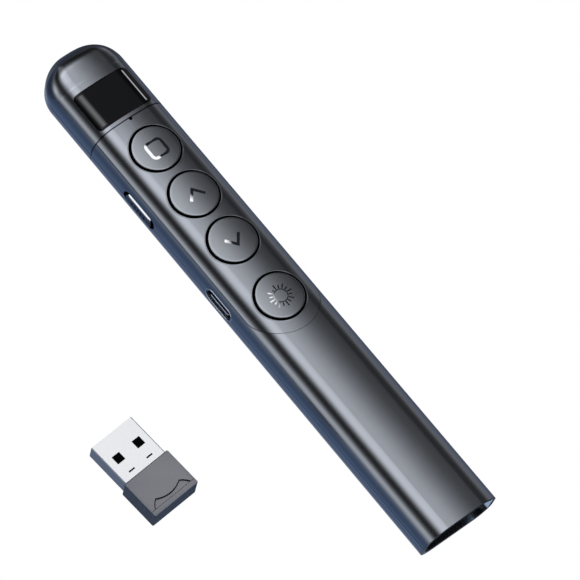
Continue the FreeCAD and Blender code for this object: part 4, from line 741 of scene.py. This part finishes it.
def grown(name, group, slot, body, **values):
    """Mesh object that a group of nodes makes, with the group's inputs by name."""
    seed = bpy.data.objects.new(name + "_seed", bpy.data.meshes.new(name + "_seed"))
    bpy.context.scene.collection.objects.link(seed)
    modifier = seed.modifiers.new("grow", "NODES")
    modifier.node_group = group
    for item in group.interface.items_tree:
        key = item.name.replace(" ", "_").lower()
        if item.in_out == "INPUT" and key in values:
            modifier[item.identifier] = values[key]
    view = bpy.context.evaluated_depsgraph_get()
    mesh = bpy.data.meshes.new_from_object(seed.evaluated_get(view))
    mesh.name = name
    seed.modifiers.remove(modifier)
    bpy.data.objects.remove(seed)
    obj = bpy.data.objects.new(name, mesh)
    bpy.context.scene.collection.objects.link(obj)
    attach(obj, body)
    return obj


def lay_on_cap(obj, word, lift):
    """Move a flat sign from the origin onto a key's cap."""
    for vertex in obj.data.vertices:
        x, y = vertex.co.x / MM + SIGN_SHIFT[0], vertex.co.y / MM + SIGN_SHIFT[1]
        vertex.co = Vector((x + KEYS[word], y, float(cap_height(y)) + lift)) * MM


for name, length, start in RAYS:
    sign = grown(name, sun_rays, "key_satin", "light_key_body", count=RAYS_EACH,
                 inner_radius=RAY_RADIUS * MM, ray_length=length * MM, ray_width=RAY_WIDTH * MM,
                 start_turn=start, material=SIGN_SHADINGS["light"])
    lay_on_cap(sign, "light", RAY_LIFT)
print("rays made:", RAYS_EACH * len(RAYS))

# %% [markdown]
# ## Window
# The display's cover is a smoked pane. It is flat in the middle and rolls down at both sides, where
# it meets the casing's shoulders. Rays sent down onto the solid pane keep it under that one's height.

# %% Window
PANE_X, PANE_Y, PANE_CORNER, PANE_THICK = (50.02, 60.68), 7.53, 1.0, 0.55
PANE_FLAT, PANE_LEVEL, PANE_ROLL, PANE_UNDER = 5.0, 12.60, 4.2, 0.02
PANE_ROWS, PANE_COLUMNS = 49, 9
PROBE_HIGH, PROBE_INSET = 20, 0.1
pane_solid = NODES["display_window"]


def within(value, low, high):
    """The value, kept between two limits."""
    return min(max(value, low), high)


def pane_height(x, y):
    """Flat with rolled sides, and never above the solid pane."""
    over = max(abs(y) - PANE_FLAT, 0.0)
    rolled = PANE_LEVEL - PANE_ROLL + math.sqrt(PANE_ROLL ** 2 - over ** 2)
    probe = Vector((within(x, PANE_X[0] + PROBE_INSET, PANE_X[1] - PROBE_INSET),
                    within(y, PROBE_INSET - PANE_Y, PANE_Y - PROBE_INSET), PROBE_HIGH)) * MM
    hit, spot, _, _ = pane_solid.ray_cast(probe, Vector((0, 0, -1)))
    return min(rolled, spot.z / MM - PANE_UNDER) if hit else rolled


def corner_inset(y):
    """How far the pane's ends step back towards its round corners."""
    over = max(abs(y) - (PANE_Y - PANE_CORNER), 0.0)
    return PANE_CORNER - math.sqrt(max(PANE_CORNER ** 2 - over ** 2, 0.0))


def pane_rim():
    """Numbers of the points round the pane's upper face, in order."""
    last = (PANE_ROWS - 1) * PANE_COLUMNS
    rim = list(range(PANE_COLUMNS))
    rim += [row * PANE_COLUMNS + PANE_COLUMNS - 1 for row in range(1, PANE_ROWS)]
    rim += [last + k for k in range(PANE_COLUMNS - 2, -1, -1)]
    return rim + [row * PANE_COLUMNS for row in range(PANE_ROWS - 2, 0, -1)]


def make_pane():
    """Upper face, lower face and the wall between them, as one closed piece."""
    points, faces = [], []
    for y in (PANE_Y * math.sin(math.pi / 2 * t) for t in np.linspace(-1, 1, PANE_ROWS)):
        inset = corner_inset(y)
        for x in np.linspace(PANE_X[0] + inset, PANE_X[1] - inset, PANE_COLUMNS):
            points.append((x, y, pane_height(x, y)))
    top = len(points)
    points += [(x, y, z - PANE_THICK) for x, y, z in points]
    for row in range(PANE_ROWS - 1):
        for a in range(row * PANE_COLUMNS, row * PANE_COLUMNS + PANE_COLUMNS - 1):
            b = a + PANE_COLUMNS
            faces.append((a, a + 1, b + 1, b))
            faces.append((top + a, top + b, top + b + 1, top + a + 1))
    rim = pane_rim()
    for one, two in zip(rim, rim[1:] + rim[:1]):
        faces.append((one, two, top + two, top + one))
    return piece_from("window_pane", points, faces, "window_black", "casing")


pane = make_pane()
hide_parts("display_window")
print("window from", PANE_X, "with its edges")

# %% [markdown]
# ## Side controls
# The charging port's shell ends in a drawn rim, which stands out of the casing's side by a little. A
# tube along the rim's outline catches the light as the real one does.

# %% Rim of the port
BELLY, BELLY_Y, BELLY_Z = 4.4, 6.0, 4.4
PORT_X, PORT_Z, PORT_LONG, PORT_HIGH = 1.65, 6.6, 8.94, 3.26
TUBE_AROUND, TUBE_RADIUS, TUBE_SINK, TUBE_SIDES = 0.30, 0.12, 0.03, 10


def side_reach(z):
    """How far out the casing's side is at a height."""
    if z > SHOULDER_Z:
        return SHOULDER_Y + math.sqrt(SHOULDER ** 2 - (z - SHOULDER_Z) ** 2)
    if z < BELLY_Z:
        return BELLY_Y + math.sqrt(BELLY ** 2 - (BELLY_Z - z) ** 2)
    return HALF


def stadium(middle_x, middle_z, length, height, steps=14):
    """Outline with half circles at both ends, on the casing's side."""
    half, r = length / 2 - height / 2, height / 2
    line = []
    for side, first in ((1, -math.pi / 2), (-1, math.pi / 2)):
        for step in range(steps + 1):
            a = first + math.pi * step / steps
            line.append((middle_x + side * half + r * math.cos(a), middle_z + r * math.sin(a)))
    return line


def rim_tube(name, line, slot, body):
    """Thin round tube along a closed line on the casing's side."""
    points = []
    for k, (x, z) in enumerate(line):
        before, after = line[k - 1], line[(k + 1) % len(line)]
        run = Vector((after[0] - before[0], 0, after[1] - before[1])).normalized()
        out_way = Vector((run.z, 0, -run.x))
        middle = Vector((x, side_reach(z) - TUBE_SINK, z))
        for u, v in circle_at((0, 0), 1, TUBE_SIDES):
            points.append(middle + (out_way * u + Vector((0, 1, 0)) * v) * TUBE_RADIUS)
    piece_from(name, points, quads(len(line), TUBE_SIDES, loop=True), slot, body)


rim_tube("port_rim", stadium(PORT_X, PORT_Z, PORT_LONG + TUBE_AROUND, PORT_HIGH + TUBE_AROUND),
         "bright_edge", "casing")
print("port rim at", (PORT_X, PORT_Z))

# %% [markdown]
# ### Fine edges
# The slide has a polished upper edge, and the port's contact tongue a round front edge. Both are a
# small profile drawn along the casing, with the ends turned back at the corners.

# %% Edges of the slide and the tongue
STRIP_STOPS = 15
KNOB_X, KNOB_Z, KNOB_LONG, KNOB_HIGH, KNOB_CORNER, KNOB_PROUD = 31.1, 6.5, 9.1, 2.6, 0.9, 0.3
KNOB_EXTRA = 0.35
KNOB_EDGE = ((-0.62, 0.0), (-0.60, 0.10), (-0.10, -0.01), (0.0, -0.10), (-0.10, -0.16))
TONGUE_HALF, TONGUE_ROUND, TONGUE_Y, TONGUE_Z = 2.9, 0.21, 9.96, PORT_Z - 0.45
TONGUE_DEEP, TONGUE_EXTRA, TONGUE_CORNER = 0.5, 0.3, 0.35


def drawn_strip(name, profile, middle_x, half, extra, corner, shift, slot, body):
    """Profile drawn along the casing, with its ends turned by a corner radius."""
    points, faces = [], []
    for x in np.linspace(-half - extra, half + extra, STRIP_STOPS):
        over = max(abs(x) - half, 0.0)
        turned = corner - math.sqrt(corner ** 2 - over ** 2)
        points += [(middle_x + x, y + shift[0] * turned, z + shift[1] * turned) for y, z in profile]
    rows = len(profile)
    for k in range(STRIP_STOPS - 1):
        for m in range(rows):
            n = (m + 1) % rows
            faces.append((k * rows + m, k * rows + n, (k + 1) * rows + n, (k + 1) * rows + m))
    faces.append(tuple(range(rows)))
    faces.append(tuple(range((STRIP_STOPS - 1) * rows, STRIP_STOPS * rows)))
    piece_from(name, points, faces, slot, body)


knob_edge = [(HALF + KNOB_PROUD + y, KNOB_Z + KNOB_HIGH / 2 + z) for y, z in KNOB_EDGE]
drawn_strip("slide_edge", knob_edge, KNOB_X, KNOB_LONG / 2 - KNOB_CORNER, KNOB_EXTRA, KNOB_CORNER,
            (0, -1), "bright_edge", "power_slide")
tongue_front = [(TONGUE_Y + TONGUE_ROUND * math.cos(a), TONGUE_Z + TONGUE_ROUND * math.sin(a))
                for a in np.linspace(-math.pi / 2, math.pi / 2, 9)]
tongue_front += [(TONGUE_Y - TONGUE_DEEP, TONGUE_Z + side * TONGUE_ROUND) for side in (1, -1)]
drawn_strip("port_tongue_edge", tongue_front, PORT_X, TONGUE_HALF, TONGUE_EXTRA, TONGUE_CORNER,
            (-1, 0), "port_steel", "casing")
print("slide edge at", KNOB_X, "and tongue edge at", PORT_X)

# %% [markdown]
# ## Receiver
# The receiver is a small plug with a plastic housing, which lies beside the casing, turned by a few
# degrees. The housing is cut from a rounded block: a socket for the plug, and the finger recess with
# its two peaks. Booleans suit it, because both cuts have straight walls. It is made in the
# receiver's own frame, and each point is then laid in its place.

# %% Receiver housing
RECEIVER_X, RECEIVER_Y, RECEIVER_TURN = -20.1, 47.9, math.radians(4.9)
LONG, WIDE, THICK, CORNER, EDGE, EDGE_STEPS = 10.2, 13.0, 5.4, 0.36, 0.11, 3
GRIP_LINE, GRIP_PEAK, GRIP_MIDDLE, GRIP_DEEP = -8.95, -6.95, -7.95, 0.22
GRIP_END_Y, GRIP_PEAK_Y, GRIP_BULGE, GRIP_LEAN = 5.45, 3.5, 0.22, 0.7
RISE_STEPS, HOLLOW_STEPS = 8, 16
SOCKET_X, SOCKET_HALF_WIDE, SOCKET_HALF_HIGH = (-LONG + 0.9, 1.0), 6.06, 2.31
HOUSING_SHARP_FROM = math.radians(30)


def laid(point):
    """From the receiver's own frame to its place beside the casing."""
    x, y, z = point
    c, s = math.cos(RECEIVER_TURN), math.sin(RECEIVER_TURN)
    return (RECEIVER_X + c * x - s * y, RECEIVER_Y + s * x + c * y, z)


def block_mesh():
    """Block with round corners and rounded upper and lower edges."""
    levels = []
    for step in range(EDGE_STEPS + 1):
        t = math.pi / 2 * step / EDGE_STEPS
        levels.append((EDGE * (1 - math.sin(t)), EDGE * (1 - math.cos(t))))
    levels += [(inset, THICK - z) for inset, z in reversed(levels)]
    rings = []
    for inset, z in levels:
        half = (LONG / 2 - inset, WIDE / 2 - inset)
        rings.append([(x, y, z) for x, y in
                      rounded_rectangle((-LONG / 2, 0), half, CORNER - inset, steps=6)])
    points = [p for ring in rings for p in ring]
    count = len(rings[0])
    faces = [tuple(range(count)), tuple(range(len(points) - count, len(points)))]
    for row in range(len(rings) - 1):
        for k in range(count):
            m = (k + 1) % count
            faces.append((row * count + k, row * count + m, (row + 1) * count + m,
                          (row + 1) * count + k))
    return points, faces


def grip_outline():
    """Straight rear line, an outer arc up to each peak and a hollow arc between the peaks."""
    sag = GRIP_PEAK - GRIP_MIDDLE
    radius = (GRIP_PEAK_Y ** 2 + sag ** 2) / (2 * sag)
    middle = GRIP_MIDDLE + radius
    reach = math.asin(GRIP_PEAK_Y / radius)
    curve = []
    for t in np.linspace(0, 1, RISE_STEPS + 1)[:-1]:
        bulge = GRIP_BULGE * math.sin(math.pi * t)
        curve.append((GRIP_LINE + (GRIP_PEAK - GRIP_LINE) * t + bulge * GRIP_LEAN,
                      GRIP_END_Y + (GRIP_PEAK_Y - GRIP_END_Y) * t + bulge * GRIP_LEAN))
    for a in np.linspace(reach, -reach, HOLLOW_STEPS + 1):
        curve.append((middle - radius * math.cos(a), radius * math.sin(a)))
    curve += [(x, -y) for x, y in reversed(curve[:RISE_STEPS])]
    return curve


def prism(outline, low, high):
    """Points and faces of an upright block with this outline."""
    count = len(outline)
    points = [(x, y, low) for x, y in outline] + [(x, y, high) for x, y in outline]
    faces = [tuple(range(count)), tuple(range(count, 2 * count))]
    faces += [(k, (k + 1) % count, count + (k + 1) % count, count + k) for k in range(count)]
    return points, faces


def make_housing():
    """Rounded block with the plug's socket and the finger recess cut out of it."""
    points, faces = block_mesh()
    housing = piece_from("receiver_case", [laid(p) for p in points], faces, "receiver_navy",
                         "receiver")
    (back, front), half = SOCKET_X, SOCKET_HALF_WIDE
    socket = [(back, -half), (front, -half), (front, half), (back, half)]
    blocks = {"socket_tool": prism(socket, THICK / 2 - SOCKET_HALF_HIGH,
                                   THICK / 2 + SOCKET_HALF_HIGH),
              "grip_tool": prism(grip_outline(), THICK - GRIP_DEEP, THICK + 1)}
    tools = [solid_from(name, [laid(p) for p in points], faces)
             for name, (points, faces) in blocks.items()]
    for tool in tools:
        cut = housing.modifiers.new("cut", "BOOLEAN")
        cut.operation = "DIFFERENCE"
        cut.solver = "EXACT"
        cut.object = tool
    view = bpy.context.evaluated_depsgraph_get()
    mesh = bpy.data.meshes.new_from_object(housing.evaluated_get(view))
    housing.modifiers.clear()
    housing.data = mesh
    mesh.shade_smooth()
    mesh.set_sharp_from_angle(angle=HOUSING_SHARP_FROM)
    for tool in tools:
        bpy.data.objects.remove(tool)
    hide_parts("receiver_housing")
    return housing


housing = make_housing()
print("housing has", len(housing.data.polygons), "faces")

# %% [markdown]
# ### Lines on the receiver
# Two fine lines cross the housing, one at the recess and one where the plug comes out. They are
# narrower than a pixel, so each is a thin dark band just over the surface. The recess has a painted
# shadow along its wall, a dark band just under the surface, which shows only where the recess is cut.

# %% Receiver lines
SHADOW_WIDTH, SHADOW_UNDER = 0.44, 0.004
LINE_OVER, LINE_MARGIN = 0.003, 0.15
LINES = (("grip_line", GRIP_LINE, 0.09), ("socket_line", -0.16, 0.08))  # name, place, width


def flat_band(name, line, width, z):
    """Thin dark band on the receiver along a line in its own frame."""
    line = np.array(line, float)
    across, _ = sides_of(line, closed=False)
    points = [laid((x, y, z)) for x, y in line - across * width / 2]
    points += [laid((x, y, z)) for x, y in line + across * width / 2]
    count = len(line)
    faces = [(k, k + 1, count + k + 1, count + k) for k in range(count - 1)]
    piece_from(name, points, faces, "gap_black", "receiver")


# painted shadow along the recess's wall
flat_band("grip_shadow", grip_outline(), SHADOW_WIDTH, THICK - SHADOW_UNDER)
for name, x, width in LINES:
    flat_band(name, [(x, y) for y in (-WIDE / 2 + LINE_MARGIN, 0, WIDE / 2 - LINE_MARGIN)], width,
              THICK + LINE_OVER)
print("receiver lines made:", 1 + len(LINES))

# %% [markdown]
# ### Stops in the plug
# A real plug is dark inside, behind the two square holes and the two slots of its shell, where shade
# falls. A black block of painted shade under each of them closes the view and leaves the shell's
# metal as it is.

# %% Stops in the plug
PLUG_LONG, PLUG_THICK, PLUG_WALL = 11.3, 4.5, 0.3
HOLE, HOLE_PITCH, HOLE_BACK = 2.2, 6.0, 5.7
SLOT_AT, SLOT_WIDE, SLOT_LONG, SLOT_PITCH = 1.4, 0.4, 1.7, 5.3
STOP_LAP, STOP_CORNER, STOP_THICK, STOP_UNDER = 0.5, 0.2, 0.10, 0.02
STOPS = (  # name, place along the plug, spacing, length and width of the opening
    ("hole_stop_%d", PLUG_LONG - HOLE_BACK, HOLE_PITCH, HOLE, HOLE),
    ("slot_stop_%d", SLOT_AT + SLOT_WIDE / 2, SLOT_PITCH, SLOT_WIDE, SLOT_LONG),
)


def stop_block(name, x, y, long, wide):
    """Black block of painted shade under an opening of the plug, a little larger than the opening."""
    top = THICK / 2 + PLUG_THICK / 2 - PLUG_WALL - STOP_UNDER
    half = ((long + STOP_LAP) / 2, (wide + STOP_LAP) / 2)
    outline = rounded_rectangle((x, y), half, STOP_CORNER, steps=4)
    points, faces = prism(outline, top - STOP_THICK, top)
    piece_from(name, [laid(p) for p in points], faces, "gap_black", "receiver")


for number, side in enumerate((-1, 1), 1):
    for name, x, pitch, long, wide in STOPS:
        stop_block(name % number, x, side * pitch / 2, long, wide)
print("stops made:", 2 * len(STOPS))

# %% [markdown]
# ## Receiver light
# The receiver lies apart from the casing. Its plug and its housing each get a soft box of their own,
# because the plug is far brighter. Light linking keeps each box off everything else.

# %% Receiver lights
TARGET = Vector((-0.015, 0.048, 0.005))  # metres
TOWARDS_BOX = Vector((0.2785, -0.3739, 0.8847))
BOX_APART, BOX_SIZE = 0.45, 0.30  # metres
plug = [NODES[name] for name in ("receiver_plug_shell", "receiver_plug_tongue", "receiver_contacts")]
BOXES = (  # name, power in watts, colour, what it lights
    ("plug_box", 0.34, (1.0, 0.985, 0.95), plug),
    ("housing_box", 1.45, (1.0, 0.88, 0.78), [housing]),
)
for name, energy, colour, pieces in BOXES:
    data = bpy.data.lights.new(name, "AREA")
    data.shape = "RECTANGLE"
    data.size, data.size_y = BOX_SIZE, BOX_SIZE
    data.energy = energy
    data.color = colour
    box = bpy.data.objects.new(name, data)
    bpy.context.scene.collection.objects.link(box)
    box.location = TARGET + TOWARDS_BOX * BOX_APART
    box.rotation_euler = TOWARDS_BOX.to_track_quat("Z", "Y").to_euler()
    group = bpy.data.collections.new(name + "_pieces")
    for obj in pieces:
        group.objects.link(obj)
    box.light_linking.receiver_collection = group
print("receiver boxes light", len(plug) + 1, "pieces")
